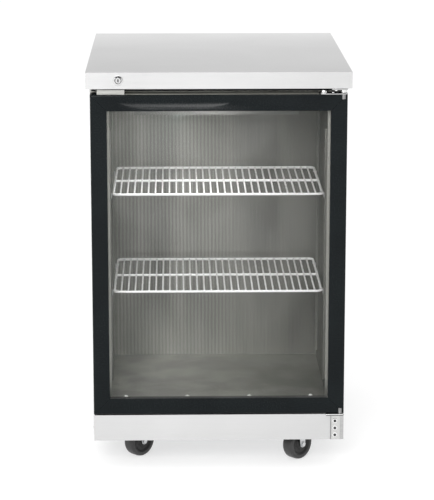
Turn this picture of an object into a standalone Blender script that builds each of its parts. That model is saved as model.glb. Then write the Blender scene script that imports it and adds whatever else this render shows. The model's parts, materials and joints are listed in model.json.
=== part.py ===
"""Undercounter refrigerator with one glass door, two wire shelves and four swivel casters.

Metres, +Z up, +X to the right of someone facing the door, which looks along -Y. The origin is on
the floor, under the middle of the object.
"""

import math

import bmesh
import bpy
from mathutils import Matrix, Vector

# Driving dimensions
HEIGHT = 0.950
WORKTOP_HALF = 0.305
WORKTOP_FRONT, WORKTOP_BACK = -0.354, 0.357
APRON = 0.038
SHEET = 0.0015
GAP = 0.0003

BODY_HALF = 0.2975
BODY_FRONT, BODY_BACK = -0.298, 0.340
BODY_BOTTOM = 0.100
PANEL = 0.002
SKIRT_BOTTOM = 0.071

CAVITY_HALF = 0.2575
CAVITY_FLOOR, CAVITY_CEILING = 0.155, 0.865
CAVITY_FRONT, CAVITY_BACK = -0.2875, 0.100
OPENING_LIP = 0.004
INSULATION_BACK = 0.140

DOOR_HALF = 0.295
DOOR_BOTTOM, DOOR_TOP = 0.137, 0.898
DOOR_FRONT, DOOR_BACK = -0.350, -0.306
FRAME = 0.038
FRAME_WALL = 0.026
FRAME_LIP = 0.005
PANE = 0.004
PANE_GAP = 0.012

HINGE_X, HINGE_Y = 0.286, -0.346
HINGE_PIN = 0.003
KNUCKLE = 0.0055

LOCK_X, LOCK_Z = -0.230, HEIGHT - APRON + 0.0195
LOCK_BEZEL, LOCK_PLUG = 0.0115, 0.007
CAM_LENGTH = 0.0305

SHELF_HALF = 0.249
SHELF_FRONT, SHELF_BACK = -0.265, 0.075
SHELF_ROD, SHELF_WIRE = 0.006, 0.003
SHELF_PITCH = 0.0166
SHELF_BOTTOMS = {"upper": 0.645, "lower": 0.410}

CASTER_X = 0.206
CASTER_FRONT, CASTER_REAR = -0.252, 0.262
CASTER_TRAIL = 0.022
WHEEL_RADIUS, WHEEL_WIDTH = 0.038, 0.030
AXLE_RADIUS = 0.004
FRONT_YAW = math.radians(45)

COVER_LOW, COVER_HIGH = (-0.200, -0.055, 0.803), (0.200, 0.0995, 0.8645)
EVAPORATOR_FAN = (0.120, 0.022)
COIL_LOW, COIL_HIGH = (-0.185, -0.040, 0.812), (0.0275, 0.090, 0.858)
COIL_FIN, COIL_PITCH, COIL_BASE = 0.0025, 0.010, 0.008
KNOB_Z, SWITCH_X, SWITCH_Z = 0.836, 0.052, 0.838
CONDENSER_LOW_X, CONDENSER_HIGH_X, CONDENSER_TOP = 0.060, 0.280, 0.360
CONDENSER_FAN = (0.170, 0.215)
COMPRESSOR_PLACE = (-0.130, 0.238)

# Colour, roughness, metallic
LOOKS = {
    "worktop_steel": ((0.80, 0.80, 0.80), 0.35, 1.0),
    "shell_steel": ((0.72, 0.72, 0.71), 0.35, 1.0),
    "liner_steel": ((0.42, 0.42, 0.40), 0.40, 1.0),
    "black_frame": ((0.015, 0.018, 0.02), 0.35, 0.0),
    "glass": ((0.80, 0.86, 0.84), 0.03, 0.0),
    "spacer": ((0.55, 0.55, 0.54), 0.45, 0.8),
    "gasket": ((0.03, 0.03, 0.03), 0.70, 0.0),
    "bright_metal": ((0.85, 0.85, 0.84), 0.20, 1.0),
    "white_wire": ((0.90, 0.90, 0.88), 0.35, 0.0),
    "foam": ((0.75, 0.68, 0.45), 0.90, 0.0),
    "galvanised": ((0.55, 0.56, 0.57), 0.50, 1.0),
    "white_plastic": ((0.86, 0.86, 0.84), 0.45, 0.0),
    "black_plastic": ((0.02, 0.02, 0.02), 0.50, 0.0),
    "black_paint": ((0.02, 0.02, 0.022), 0.40, 0.0),
    "fin_aluminium": ((0.75, 0.76, 0.77), 0.40, 1.0),
    "wheel_rubber": ((0.02, 0.02, 0.02), 0.60, 0.0),
    "zinc": ((0.62, 0.63, 0.64), 0.35, 1.0),
}


def look(name):
    found = bpy.data.materials.get(name)
    if found:
        return found
    colour, roughness, metallic = LOOKS[name]
    made = bpy.data.materials.new(name)
    made.use_nodes = True
    shader = made.node_tree.nodes["Principled BSDF"]
    shader.inputs["Base Color"].default_value = (*colour, 1.0)
    shader.inputs["Roughness"].default_value = roughness
    shader.inputs["Metallic"].default_value = metallic
    return made


# Shapes: each returns a closed bmesh in the coordinates of its owner


def block(low, high):
    shape = bmesh.new()
    bmesh.ops.create_cube(shape, size=1.0)
    size = Vector(high) - Vector(low)
    middle = (Vector(high) + Vector(low)) / 2
    bmesh.ops.transform(shape, matrix=Matrix.LocRotScale(middle, None, size), verts=shape.verts)
    return shape


def prism(outline, low, high, axis):
    """An outline in the plane across the axis, extruded from low to high along it.

    The outline's two coordinates are the other two axes in X, Y, Z order.
    """
    shape = bmesh.new()
    verts = []
    for first, second in outline:
        place = [first, second]
        place.insert("XYZ".index(axis), low)
        verts.append(shape.verts.new(place))
    face = shape.faces.new(verts)
    moved = bmesh.ops.extrude_face_region(shape, geom=[face])["geom"]
    along = [0.0, 0.0, 0.0]
    along["XYZ".index(axis)] = high - low
    bmesh.ops.translate(shape, vec=along, verts=[v for v in moved if isinstance(v, bmesh.types.BMVert)])
    bmesh.ops.recalc_face_normals(shape, faces=shape.faces)
    return shape


def arc(centre, radius, start, end, steps):
    """Points on a circle from the start angle to the end angle, in degrees."""
    angles = [math.radians(start + (end - start) * i / steps) for i in range(steps + 1)]
    return [(centre[0] + radius * math.cos(a), centre[1] + radius * math.sin(a)) for a in angles]


def disc(centre, radius, low, high, axis, sides=24):
    """A round bar: the centre is given by the two coordinates across the axis."""
    return prism(arc(centre, radius, 0, 360 - 360 / sides, sides - 1), low, high, axis)


def turned(profile, axis, centre, sides=28):
    """A solid of revolution. Its profile is a closed loop of (radius, height) points."""
    shape = bmesh.new()
    rings = []
    for i in range(sides):
        angle = 2 * math.pi * i / sides
        ring = []
        for radius, height in profile:
            place = [radius * math.cos(angle), radius * math.sin(angle)]
            place.insert("XYZ".index(axis), height)
            ring.append(shape.verts.new(Vector(place) + Vector(centre)))
        rings.append(ring)
    for i, ring in enumerate(rings):
        following = rings[(i + 1) % sides]
        for j in range(len(profile)):
            k = (j + 1) % len(profile)
            shape.faces.new((ring[j], ring[k], following[k], following[j]))
    bmesh.ops.recalc_face_normals(shape, faces=shape.faces)
    return shape


def perforated(x_edges, y_edges, low, high, is_solid):
    """A plate on a grid of cells, with walls round the cells that are left out."""
    shape = bmesh.new()
    corner = {}

    def vert(i, j, z):
        if (i, j, z) not in corner:
            corner[i, j, z] = shape.verts.new((x_edges[i], y_edges[j], z))
        return corner[i, j, z]

    columns, rows = len(x_edges) - 1, len(y_edges) - 1

    def filled(i, j):
        return 0 <= i < columns and 0 <= j < rows and is_solid(i, j)

    for i in range(columns):
        for j in range(rows):
            if not filled(i, j):
                continue
            loop = [(i, j), (i + 1, j), (i + 1, j + 1), (i, j + 1)]
            shape.faces.new([vert(*place, high) for place in loop])
            shape.faces.new([vert(*place, low) for place in reversed(loop)])
            neighbours = [(i, j - 1), (i + 1, j), (i, j + 1), (i - 1, j)]
            for side, neighbour in enumerate(neighbours):
                if filled(*neighbour):
                    continue
                a, b = loop[side], loop[(side + 1) % 4]
                shape.faces.new((vert(*a, low), vert(*b, low), vert(*b, high), vert(*a, high)))
    return shape


def ellipsoid(centre, radii):
    shape = bmesh.new()
    bmesh.ops.create_uvsphere(shape, u_segments=32, v_segments=12, radius=1.0)
    matrix = Matrix.LocRotScale(Vector(centre), None, Vector(radii))
    bmesh.ops.transform(shape, matrix=matrix, verts=shape.verts)
    return shape


# Objects


def place_object(name, shape, material, origin, parent, smooth):
    bmesh.ops.translate(shape, vec=-Vector(origin), verts=shape.verts)
    mesh = bpy.data.meshes.new(name)
    shape.to_mesh(mesh)
    shape.free()
    if smooth:
        mesh.shade_smooth()
        mesh.set_sharp_from_angle(angle=math.radians(35))
    if material:
        mesh.materials.append(look(material))
    made = bpy.data.objects.new(name, mesh)
    bpy.context.scene.collection.objects.link(made)
    made.location = origin
    made.parent = parent
    return made


def piece(
    name, material, base, add=(), cut=(), late=(), origin=(0, 0, 0), parent=None, smooth=False
):
    """One sub-part: a base shape, shapes joined to it, shapes cut from it, late shapes joined."""
    made = place_object(name, base, material, origin, parent, smooth)
    steps = [("UNION", shape) for shape in add] + [("DIFFERENCE", shape) for shape in cut]
    steps += [("UNION", shape) for shape in late]
    for i, (operation, shape) in enumerate(steps):
        tool = place_object(f"{name}_tool_{i}", shape, None, origin, parent, False)
        tool.hide_render = True
        tool.display_type = "WIRE"
        modifier = made.modifiers.new(f"{operation.lower()}_{i}", "BOOLEAN")
        modifier.operation = operation
        modifier.solver = "EXACT"
        modifier.object = tool
    return made


def empty(name, location, yaw=0.0):
    made = bpy.data.objects.new(name, None)
    bpy.context.scene.collection.objects.link(made)
    made.location = location
    made.rotation_euler.z = yaw
    return made


# Cabinet


def make_worktop():
    bottom = HEIGHT - APRON
    half, front, back = WORKTOP_HALF - SHEET, WORKTOP_FRONT + SHEET, WORKTOP_BACK - SHEET
    flange = 0.012
    piece(
        "worktop",
        "worktop_steel",
        block((-WORKTOP_HALF, WORKTOP_FRONT, bottom), (WORKTOP_HALF, WORKTOP_BACK, HEIGHT)),
        cut=[
            block((-half, front, bottom + SHEET), (half, back, HEIGHT - SHEET)),
            block(
                (-half + flange, front + flange, bottom - SHEET),
                (half - flange, back - flange, bottom + 2 * SHEET),
            ),
            disc((LOCK_X, LOCK_Z), 0.0095, WORKTOP_FRONT - SHEET, front + SHEET, "Y"),
        ],
    )


def make_shell():
    top = HEIGHT - APRON - GAP
    for side, sign in (("left", -1), ("right", 1)):
        across = sorted((sign * (BODY_HALF - PANEL), sign * BODY_HALF))
        piece(
            f"side_panel_{side}",
            "shell_steel",
            block((across[0], BODY_FRONT, SKIRT_BOTTOM), (across[1], BODY_BACK, top)),
        )
    inner = BODY_HALF - PANEL - GAP
    lip = CAVITY_HALF - OPENING_LIP
    collar_back = CAVITY_FRONT - GAP
    piece(
        "front_collar",
        "shell_steel",
        block((-inner, BODY_FRONT, BODY_BOTTOM), (inner, collar_back, top)),
        cut=[
            block(
                (-lip, BODY_FRONT - 0.01, CAVITY_FLOOR),
                (lip, collar_back + 0.01, CAVITY_CEILING - OPENING_LIP),
            )
        ],
    )
    pan_top = BODY_BOTTOM + PANEL
    piece(
        "base_pan",
        "galvanised",
        block((-inner, CAVITY_FRONT, BODY_BOTTOM), (inner, BODY_BACK - 0.003, pan_top)),
    )
    make_kick_panel()
    make_rear_grille(inner)


def make_kick_panel():
    front, back, top = -0.345, BODY_FRONT - GAP, DOOR_BOTTOM - 0.0035
    half = DOOR_HALF
    depth_cut = 0.1
    piece(
        "kick_panel",
        "shell_steel",
        block((-half, front, SKIRT_BOTTOM), (half, back, top)),
        cut=[
            block(
                (-half + SHEET, front + SHEET, SKIRT_BOTTOM - depth_cut),
                (half - SHEET, back + depth_cut, top - SHEET),
            )
        ],
    )


def make_rear_grille(inner):
    low, high = 0.105, 0.905
    slot, bar, columns = 0.008, 0.012, 2
    margin, middle = 0.045, 0.020
    column_width = (2 * inner - 2 * margin - (columns - 1) * middle) / columns
    x_edges = [-inner, -inner + margin]
    for column in range(columns):
        x_edges.append(x_edges[-1] + column_width)
        x_edges.append(x_edges[-1] + (middle if column < columns - 1 else margin))
    z_edges = [low, low + 0.05]
    slots = 10
    for _ in range(slots):
        z_edges += [z_edges[-1] + slot, z_edges[-1] + slot + bar]
    z_edges[-1] = high
    shape = perforated(x_edges, z_edges, 0, SHEET, lambda i, j: i % 2 == 0 or j % 2 == 0)
    upright = Matrix.Translation((0, BODY_BACK, 0)) @ Matrix.Rotation(math.pi / 2, 4, "X")
    bmesh.ops.transform(shape, matrix=upright, verts=shape.verts)
    piece("rear_grille", "galvanised", shape)


def make_liner():
    front, back = CAVITY_FRONT, CAVITY_BACK
    outer = CAVITY_HALF + SHEET
    low, high = CAVITY_FLOOR - SHEET, CAVITY_CEILING + SHEET
    sheets = {
        "liner_floor": ((-outer, front, low), (outer, back + SHEET, CAVITY_FLOOR)),
        "liner_ceiling": ((-outer, front, CAVITY_CEILING), (outer, back + SHEET, high)),
        "liner_back": (
            (-outer, back, CAVITY_FLOOR + GAP),
            (outer, back + SHEET, CAVITY_CEILING - GAP),
        ),
        "liner_left": (
            (-outer, front, CAVITY_FLOOR + GAP),
            (-CAVITY_HALF, back - GAP, CAVITY_CEILING - GAP),
        ),
        "liner_right": (
            (CAVITY_HALF, front, CAVITY_FLOOR + GAP),
            (outer, back - GAP, CAVITY_CEILING - GAP),
        ),
    }
    for name, (corner, opposite) in sheets.items():
        piece(name, "liner_steel", block(corner, opposite))
    margin = 2 * GAP
    half = BODY_HALF - PANEL - margin
    cavity = outer + GAP
    piece(
        "insulation",
        "foam",
        block(
            (-half, front + GAP, BODY_BOTTOM + PANEL + GAP),
            (half, INSULATION_BACK, HEIGHT - APRON - 2 * margin),
        ),
        add=[
            block(
                (-half + 0.008, front + GAP, HEIGHT - APRON - 0.004),
                (half - 0.008, BODY_BACK - 0.004, HEIGHT - SHEET - GAP),
            )
        ],
        cut=[
            block(
                (-cavity, front - 0.01, low - GAP),
                (cavity, back + SHEET + GAP, high + GAP),
            )
        ],
    )


def make_standards():
    """Four shelf standards on the side walls, each with a clip under each shelf."""
    depth, width = 0.005, 0.014
    clip_reach, clip_width, clip = 0.010, 0.010, 0.003
    for side, sign in (("left", -1), ("right", 1)):
        for place, middle in (("front", -0.225), ("rear", 0.040)):
            wall = sign * (CAVITY_HALF - GAP)
            face = wall - sign * depth
            base = block(
                (min(wall, face), middle - width / 2, CAVITY_FLOOR + 0.03),
                (max(wall, face), middle + width / 2, COVER_LOW[2] - 0.006),
            )
            clips = []
            for bottom in SHELF_BOTTOMS.values():
                tip = face - sign * clip_reach
                inside = face + sign * depth / 2
                clips.append(
                    block(
                        (min(tip, inside), middle - clip_width / 2, bottom - GAP - clip),
                        (max(tip, inside), middle + clip_width / 2, bottom - GAP),
                    )
                )
            piece(f"standard_{place}_{side}", "liner_steel", base, add=clips)


# Cooling, light and controls


def make_evaporator():
    low, high = Vector(COVER_LOW), Vector(COVER_HIGH)
    wall = Vector((SHEET, SHEET, SHEET))
    fan_x, fan_y = EVAPORATOR_FAN
    slots = [
        block((x, low.y - SHEET, 0.816), (x + 0.030, low.y + 2 * SHEET, 0.822))
        for x in (-0.170, -0.130, -0.090)
    ]
    cuts = [
        block(low + wall, high - wall + Vector((0, 0, 4 * SHEET))),
        disc((fan_x, fan_y), 0.046, low.z - SHEET, low.z + 2 * SHEET, "Z", 32),
        disc((0.0, KNOB_Z), 0.004, low.y - SHEET, low.y + 2 * SHEET, "Y", 16),
        block(
            (SWITCH_X - 0.008, low.y - SHEET, SWITCH_Z - 0.012),
            (SWITCH_X + 0.008, low.y + 2 * SHEET, SWITCH_Z + 0.012),
        ),
    ]
    piece("evaporator_cover", "white_plastic", block(low, high), cut=cuts + slots)

    left, front, bottom = COIL_LOW
    right, back, top = COIL_HIGH
    fins = round((right - left - COIL_FIN) / COIL_PITCH) + 1
    comb = [(right, bottom), (left, bottom)]
    for i in range(fins):
        x = left + i * COIL_PITCH
        if i > 0:
            comb.append((x, bottom + COIL_BASE))
        comb += [(x, top), (x + COIL_FIN, top)]
        if i < fins - 1:
            comb.append((x + COIL_FIN, bottom + COIL_BASE))
    piece("evaporator_coil", "fin_aluminium", prism(comb, front, back, "Y"))

    hub_low, hub_high = 0.806, 0.826
    make_fan("evaporator_fan", "Z", (fan_x, fan_y, 0.0), 0.042, 0.012, hub_low, hub_high)
    motor = disc((fan_x, fan_y), 0.018, hub_high + GAP, 0.856, "Z")
    arm = block((fan_x - 0.050, fan_y - 0.006, 0.850), (fan_x + 0.050, fan_y + 0.006, 0.856))
    piece("evaporator_motor", "black_paint", motor, add=[arm], smooth=True)


def make_fan(name, axis, centre, radius, hub, low, high, blades=5):
    """An axial fan: a hub with flat blades, which are pitched about their own length."""
    index = "XYZ".index(axis)
    across = [centre[i] for i in range(3) if i != index]
    origin = list(centre)
    origin[index] = (low + high) / 2
    pitch = math.radians(28)
    turn_up = {"Z": Matrix.Identity(4), "Y": Matrix.Rotation(math.pi / 2, 4, "X")}[axis]
    shapes = []
    for i in range(blades):
        blade = block((hub * 0.6, -0.014, -0.0009), (radius, 0.014, 0.0009))
        matrix = (
            Matrix.Translation(origin)
            @ turn_up
            @ Matrix.Rotation(2 * math.pi * i / blades, 4, "Z")
            @ Matrix.Rotation(pitch, 4, "X")
        )
        bmesh.ops.transform(blade, matrix=matrix, verts=blade.verts)
        shapes.append(blade)
    body = disc(across, hub, low, high, axis)
    piece(name, "black_plastic", body, add=shapes, origin=origin)


def make_controls():
    front = COVER_LOW[1]
    knob = disc((0.0, KNOB_Z), 0.013, front - 0.0150, front - 0.0006, "Y", 32)
    pointer = block((-0.0015, front - 0.0175, KNOB_Z), (0.0015, front - 0.0140, KNOB_Z + 0.011))
    stem = disc((0.0, KNOB_Z), 0.003, front - 0.0020, front + 0.0060, "Y", 16)
    origin = (0.0, front - 0.008, KNOB_Z)
    piece("thermostat_knob", "black_plastic", knob, add=[pointer, stem], origin=origin, smooth=True)

    pivot = (SWITCH_X, front + 0.002, SWITCH_Z)
    rocker = [
        (pivot[1] - 0.0046, pivot[2] + 0.0096),
        (pivot[1] - 0.0030, pivot[2]),
        (pivot[1] - 0.0066, pivot[2] - 0.0096),
        (pivot[1] + 0.0040, pivot[2] - 0.0080),
        (pivot[1] + 0.0040, pivot[2] + 0.0080),
    ]
    paddle = prism(rocker, SWITCH_X - 0.0065, SWITCH_X + 0.0065, "X")
    piece("light_switch", "black_plastic", paddle, origin=pivot)

    top, front = COVER_HIGH[2], CAVITY_FRONT + 0.0155
    section = [
        (front, top),
        (front + 0.002, top - 0.0040),
        (front + 0.022, top - 0.0050),
        (front + 0.024, top),
    ]
    piece("light_bar", "white_plastic", prism(section, COVER_LOW[0], COVER_HIGH[0], "X"))


def make_machine():
    floor = BODY_BOTTOM + PANEL + GAP
    x, y = COMPRESSOR_PLACE
    dome = [(0.072, 0.012), (0.078, 0.030), (0.078, 0.110)]
    crown = arc((0.0, 0.0), 1.0, 15, 75, 4)
    dome += [(0.078 * across, 0.110 + 0.060 * up) for across, up in crown]
    body = turned([(0.010, 0.012), *dome, (0.010, 0.172)], "Z", (x, y, floor), 24)
    core = disc((x, y), 0.012, floor + 0.010, floor + 0.172, "Z", 12)
    foot = block((x - 0.090, y - 0.060, floor + 0.0001), (x + 0.090, y + 0.060, floor + 0.014))
    piece("compressor", "black_paint", body, add=[core, foot], smooth=True)

    low = (CONDENSER_LOW_X, 0.285, floor)
    high = (CONDENSER_HIGH_X, 0.322, CONDENSER_TOP)
    border, groove, pitch = 0.012, 0.006, 0.018
    grooves = int((CONDENSER_TOP - floor - 2 * border) / pitch)
    fins = []
    for i in range(grooves):
        z = floor + 2 * border + i * pitch
        corner = (low[0] + border, low[1] - border, z)
        fins.append(block(corner, (high[0] - border, low[1] + 0.020, z + groove)))
    piece("condenser", "fin_aluminium", block(low, high), cut=fins)

    fan_x, fan_z = CONDENSER_FAN
    make_fan("condenser_fan", "Y", (fan_x, 0.0, fan_z), 0.085, 0.016, 0.256, 0.278)
    motor = disc((fan_x, fan_z), 0.026, 0.196, 0.256 - GAP, "Y")
    post = block((fan_x - 0.012, 0.206, floor), (fan_x + 0.012, 0.236, fan_z))
    foot = block((fan_x - 0.040, 0.196, floor), (fan_x + 0.040, 0.246, floor + 0.004))
    piece("condenser_motor", "black_paint", motor, add=[post, foot], smooth=True)


# Shelves


def make_shelves():
    margin = SHELF_ROD / 2
    span = 2 * (SHELF_HALF - margin)
    wires = round(span / SHELF_PITCH) + 1
    x_edges = []
    for i in range(wires):
        x = -SHELF_HALF + margin + span * i / (wires - 1)
        half = margin if i in (0, wires - 1) else SHELF_WIRE / 2
        x_edges += [x - half, x + half]
    y_edges = []
    for y in (SHELF_FRONT + margin, (SHELF_FRONT + SHELF_BACK) / 2, SHELF_BACK - margin):
        y_edges += [y - margin, y + margin]
    for name, bottom in SHELF_BOTTOMS.items():
        grid = perforated(
            x_edges, y_edges, bottom, bottom + SHELF_ROD, lambda i, j: i % 2 == 0 or j % 2 == 0
        )
        piece(f"shelf_{name}", "white_wire", grid, origin=(0.0, SHELF_FRONT, bottom))


# Door


def hinge_notch(low, high):
    return disc((HINGE_X, HINGE_Y), KNUCKLE + 2 * GAP, low, high, "Z")


def make_frame(origin):
    half, low, high = DOOR_HALF, DOOR_BOTTOM, DOOR_TOP
    inner, inner_low, inner_high = half - FRAME, low + FRAME, high - FRAME
    mitre = 0.0002
    wall_half = half - FRAME_WALL
    pocket_back = DOOR_FRONT + FRAME_LIP + 2 * PANE + PANE_GAP + 0.0015

    def pocket():
        return block(
            (-wall_half, DOOR_FRONT + FRAME_LIP, low + FRAME_WALL),
            (wall_half, pocket_back, high - FRAME_WALL),
        )

    def member(name, outline, cuts):
        base = prism(outline, DOOR_FRONT, DOOR_BACK, "Y")
        piece(name, "black_frame", base, cut=[pocket(), *cuts], origin=origin)

    member(
        "door_rail_top",
        [
            (-half + mitre, high),
            (half - mitre, high),
            (inner - mitre, inner_high),
            (-inner + mitre, inner_high),
        ],
        [
            hinge_notch(high - 0.0125, high + 0.01),
            ellipsoid((-0.090, DOOR_FRONT, high - 0.014), (0.150, 0.0042, 0.0195)),
        ],
    )
    member(
        "door_rail_bottom",
        [
            (-half + mitre, low),
            (half - mitre, low),
            (inner - mitre, inner_low),
            (-inner + mitre, inner_low),
        ],
        [hinge_notch(low - 0.01, low + 0.0135)],
    )
    for side, sign in (("left", -1), ("right", 1)):
        outline = [
            (sign * half, low + mitre),
            (sign * half, high - mitre),
            (sign * inner, inner_high - mitre),
            (sign * inner, inner_low + mitre),
        ]
        notches = [
            hinge_notch(high - 0.0125, high + 0.01),
            hinge_notch(low - 0.01, low + 0.0135),
        ]
        member(f"door_stile_{side}", outline, notches if side == "right" else [])


def make_glazing(origin):
    cover = FRAME_WALL + 0.0015
    half, low, high = DOOR_HALF - cover, DOOR_BOTTOM + cover, DOOR_TOP - cover
    front = DOOR_FRONT + FRAME_LIP + GAP
    behind = front + PANE + PANE_GAP + 2 * GAP
    for name, y in (("glass_outer", front), ("glass_inner", behind)):
        piece(name, "glass", block((-half, y, low), (half, y + PANE, high)), origin=origin)
    bar, inset = 0.007, 0.003
    start = front + PANE + GAP
    end = start + PANE_GAP - GAP
    piece(
        "glass_spacer",
        "spacer",
        block((-half + inset, start, low + inset), (half - inset, end, high - inset)),
        cut=[
            block(
                (-half + inset + bar, start - 0.01, low + inset + bar),
                (half - inset - bar, end + 0.01, high - inset - bar),
            )
        ],
        origin=origin,
    )
    edge, width = 0.0070, 0.020
    half, low, high = DOOR_HALF - edge, DOOR_BOTTOM + edge, DOOR_TOP - edge
    piece(
        "door_gasket",
        "gasket",
        block((-half, DOOR_BACK + GAP, low), (half, BODY_FRONT - 2 * GAP, high)),
        cut=[
            block(
                (-half + width, DOOR_BACK - 0.01, low + width),
                (half - width, BODY_FRONT + 0.01, high - width),
            )
        ],
        origin=origin,
    )


def eye_outline(centre, radius, left, back):
    """A flat strap's outline: straight to the left end, with a round nose about the centre."""
    nose = arc(centre, radius, -90, 60, 10)
    return [(left, centre[1] - radius), *nose, (centre[0], back), (left, back)]


def make_hinges(origin):
    axis = (HINGE_X, HINGE_Y)
    bore = HINGE_PIN + 0.0004
    strap_low, strap_high = DOOR_TOP + GAP, DOOR_TOP + 0.0028
    knuckle_low = DOOR_TOP - 0.0118
    strap = eye_outline(axis, 0.0095, 0.240, -0.326)
    piece(
        "hinge_strap",
        "bright_metal",
        prism(strap, strap_low, strap_high, "Z"),
        add=[
            disc((0.240, HINGE_Y), 0.0095, strap_low, strap_high, "Z"),
            disc(axis, KNUCKLE, knuckle_low, strap_high, "Z"),
        ],
        cut=[disc(axis, bore, knuckle_low - 0.01, strap_high + 0.01, "Z")],
        origin=origin,
    )

    under = HEIGHT - APRON - GAP
    plate_low = under - 0.003
    collar_low = strap_high + 2 * GAP
    plate = eye_outline(axis, 0.010, 0.258, -0.304)
    piece(
        "hinge_plate_top",
        "bright_metal",
        prism(plate, plate_low, under, "Z"),
        add=[
            disc(axis, 0.0065, collar_low, under, "Z"),
            disc(axis, HINGE_PIN, knuckle_low + 0.001, under, "Z"),
        ],
    )

    lug_low, lug_high = DOOR_BOTTOM - 0.0032, DOOR_BOTTOM - 0.0007
    leg_front, leg_back = -0.3480, -0.345 - GAP
    bush_low, bush_high = lug_high + GAP, DOOR_BOTTOM + 0.0125
    lug = eye_outline(axis, 0.010, 0.252, -0.310)
    leg = block((0.264, leg_front, SKIRT_BOTTOM + 0.0005), (DOOR_HALF, leg_back, lug_high))
    piece(
        "hinge_bracket_bottom",
        "bright_metal",
        prism(lug, lug_low, lug_high, "Z"),
        add=[leg, disc(axis, HINGE_PIN, lug_low, bush_high - 0.002, "Z")],
    )
    piece(
        "hinge_bush",
        "bright_metal",
        disc(axis, KNUCKLE, bush_low, bush_high, "Z"),
        cut=[disc(axis, bore, bush_low - 0.01, bush_high + 0.01, "Z")],
        origin=origin,
        smooth=True,
    )


def make_strike(origin):
    left, right = -0.279, -0.216
    front, back = DOOR_FRONT + 0.004, -0.312
    low, sheet = DOOR_TOP + GAP, 0.0016
    high = low + 0.0102
    section = [
        (front, high),
        (front, low),
        (back, low),
        (back, high),
        (back - sheet, high),
        (back - sheet, low + sheet),
        (front + sheet, low + sheet),
        (front + sheet, high),
    ]
    piece("door_strike", "bright_metal", prism(section, left, right, "X"), origin=origin)


def make_door():
    origin = (HINGE_X, HINGE_Y, 0.0)
    make_frame(origin)
    make_glazing(origin)
    make_hinges(origin)
    make_strike(origin)


def make_lock():
    centre = (LOCK_X, LOCK_Z)
    face, rear = WORKTOP_FRONT - 0.003, -0.330
    bore = LOCK_PLUG + 0.0003
    profile = [
        (bore, face),
        (LOCK_BEZEL - 0.001, face),
        (LOCK_BEZEL, face + 0.001),
        (LOCK_BEZEL, WORKTOP_FRONT - GAP),
        (0.009, WORKTOP_FRONT - GAP),
        (0.009, rear),
        (bore, rear),
    ]
    place = (LOCK_X, 0.0, LOCK_Z)
    bezel = turned(profile, "Y", place, 32)
    piece("lock_bezel", "bright_metal", bezel, smooth=True)

    origin = (LOCK_X, rear, LOCK_Z)
    cam_front = rear + 0.0022
    piece(
        "lock_plug",
        "bright_metal",
        disc(centre, LOCK_PLUG, face + 0.0004, cam_front - GAP, "Y", 32),
        cut=[
            block(
                (LOCK_X - 0.0012, face - 0.01, LOCK_Z - 0.004),
                (LOCK_X + 0.0012, face + 0.007, LOCK_Z + 0.004),
            )
        ],
        origin=origin,
        smooth=True,
    )
    half = 0.006
    outline = arc(centre, 0.008, 60, 300, 12)
    outline += [
        (LOCK_X + CAM_LENGTH, LOCK_Z - half),
        (LOCK_X + CAM_LENGTH, LOCK_Z + half),
    ]
    piece(
        "lock_cam",
        "zinc",
        prism(outline, cam_front, cam_front + 0.0025, "Y"),
        origin=origin,
    )


# Casters: each is built about its own kingpin, with the wheel trailing along +X


def make_caster(place, side, x, y, yaw, has_brake):
    """One caster about its own kingpin. Its wheel, axle and lever turn with the yaw."""
    name = f"{place}_{side}"
    pivot = empty(f"caster_{name}_pivot", (x, y, 0.0), yaw)
    top = BODY_BOTTOM - GAP
    plate_low, boss_low = top - 0.003, 0.0855
    mount = empty(f"caster_{name}_mount", (x, y, 0.0))
    piece(
        f"caster_plate_{name}",
        "zinc",
        block((-0.030, -0.030, plate_low), (0.030, 0.030, top)),
        add=[
            disc((0, 0), 0.021, boss_low, top - 0.001, "Z"),
            disc((0, 0), 0.005, 0.0775, top - 0.001, "Z", 16),
        ],
        parent=mount,
    )

    inner, leg = WHEEL_WIDTH / 2 + 0.0012, 0.0025
    crown_low, crown_high = WHEEL_RADIUS * 2 + 0.003, boss_low - 2 * GAP
    axle = (CASTER_TRAIL, WHEEL_RADIUS)
    ear = (CASTER_TRAIL + 0.034, 0.066)
    nose = arc(axle, 0.009, 200, 320, 8)
    outline = [(-0.022, crown_high), (-0.022, 0.074), *nose]
    if has_brake:
        outline += [(ear[0] - 0.004, ear[1] - 0.007), *arc(ear, 0.006, -60, 90, 6)]
        outline += [(ear[0] - 0.010, 0.0775)]
    outline += [(0.036, crown_high)]
    profile = prism(outline, -inner - leg, inner + leg, "Y")
    clearance = block((-0.03, -inner, -0.01), (0.09, inner, crown_low))
    piece(
        f"caster_fork_{name}",
        "zinc",
        profile,
        cut=[clearance, disc((0, 0), 0.0058, 0.07, 0.09, "Z", 16)],
        late=[disc(axle, AXLE_RADIUS, -inner - leg - 0.002, inner + leg + 0.002, "Y", 16)],
        parent=pivot,
    )

    sides = 26
    half, hub, bore = WHEEL_WIDTH / 2, 0.012, AXLE_RADIUS + 0.0005
    radius, rim = WHEEL_RADIUS / math.cos(math.pi / sides), 0.026
    wheel = [
        (bore, -half),
        (hub, -half),
        (rim, -half + 0.003),
        (radius - 0.004, -half),
        (radius, -half + 0.005),
        (radius, half - 0.005),
        (radius - 0.004, half),
        (rim, half - 0.003),
        (hub, half),
        (bore, half),
    ]
    place_at = (CASTER_TRAIL, 0.0, WHEEL_RADIUS)
    piece(
        f"caster_wheel_{name}",
        "wheel_rubber",
        turned(wheel, "Y", place_at, sides),
        origin=place_at,
        parent=pivot,
        smooth=True,
    )
    if has_brake:
        make_brake(name, ear, inner, pivot)


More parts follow.
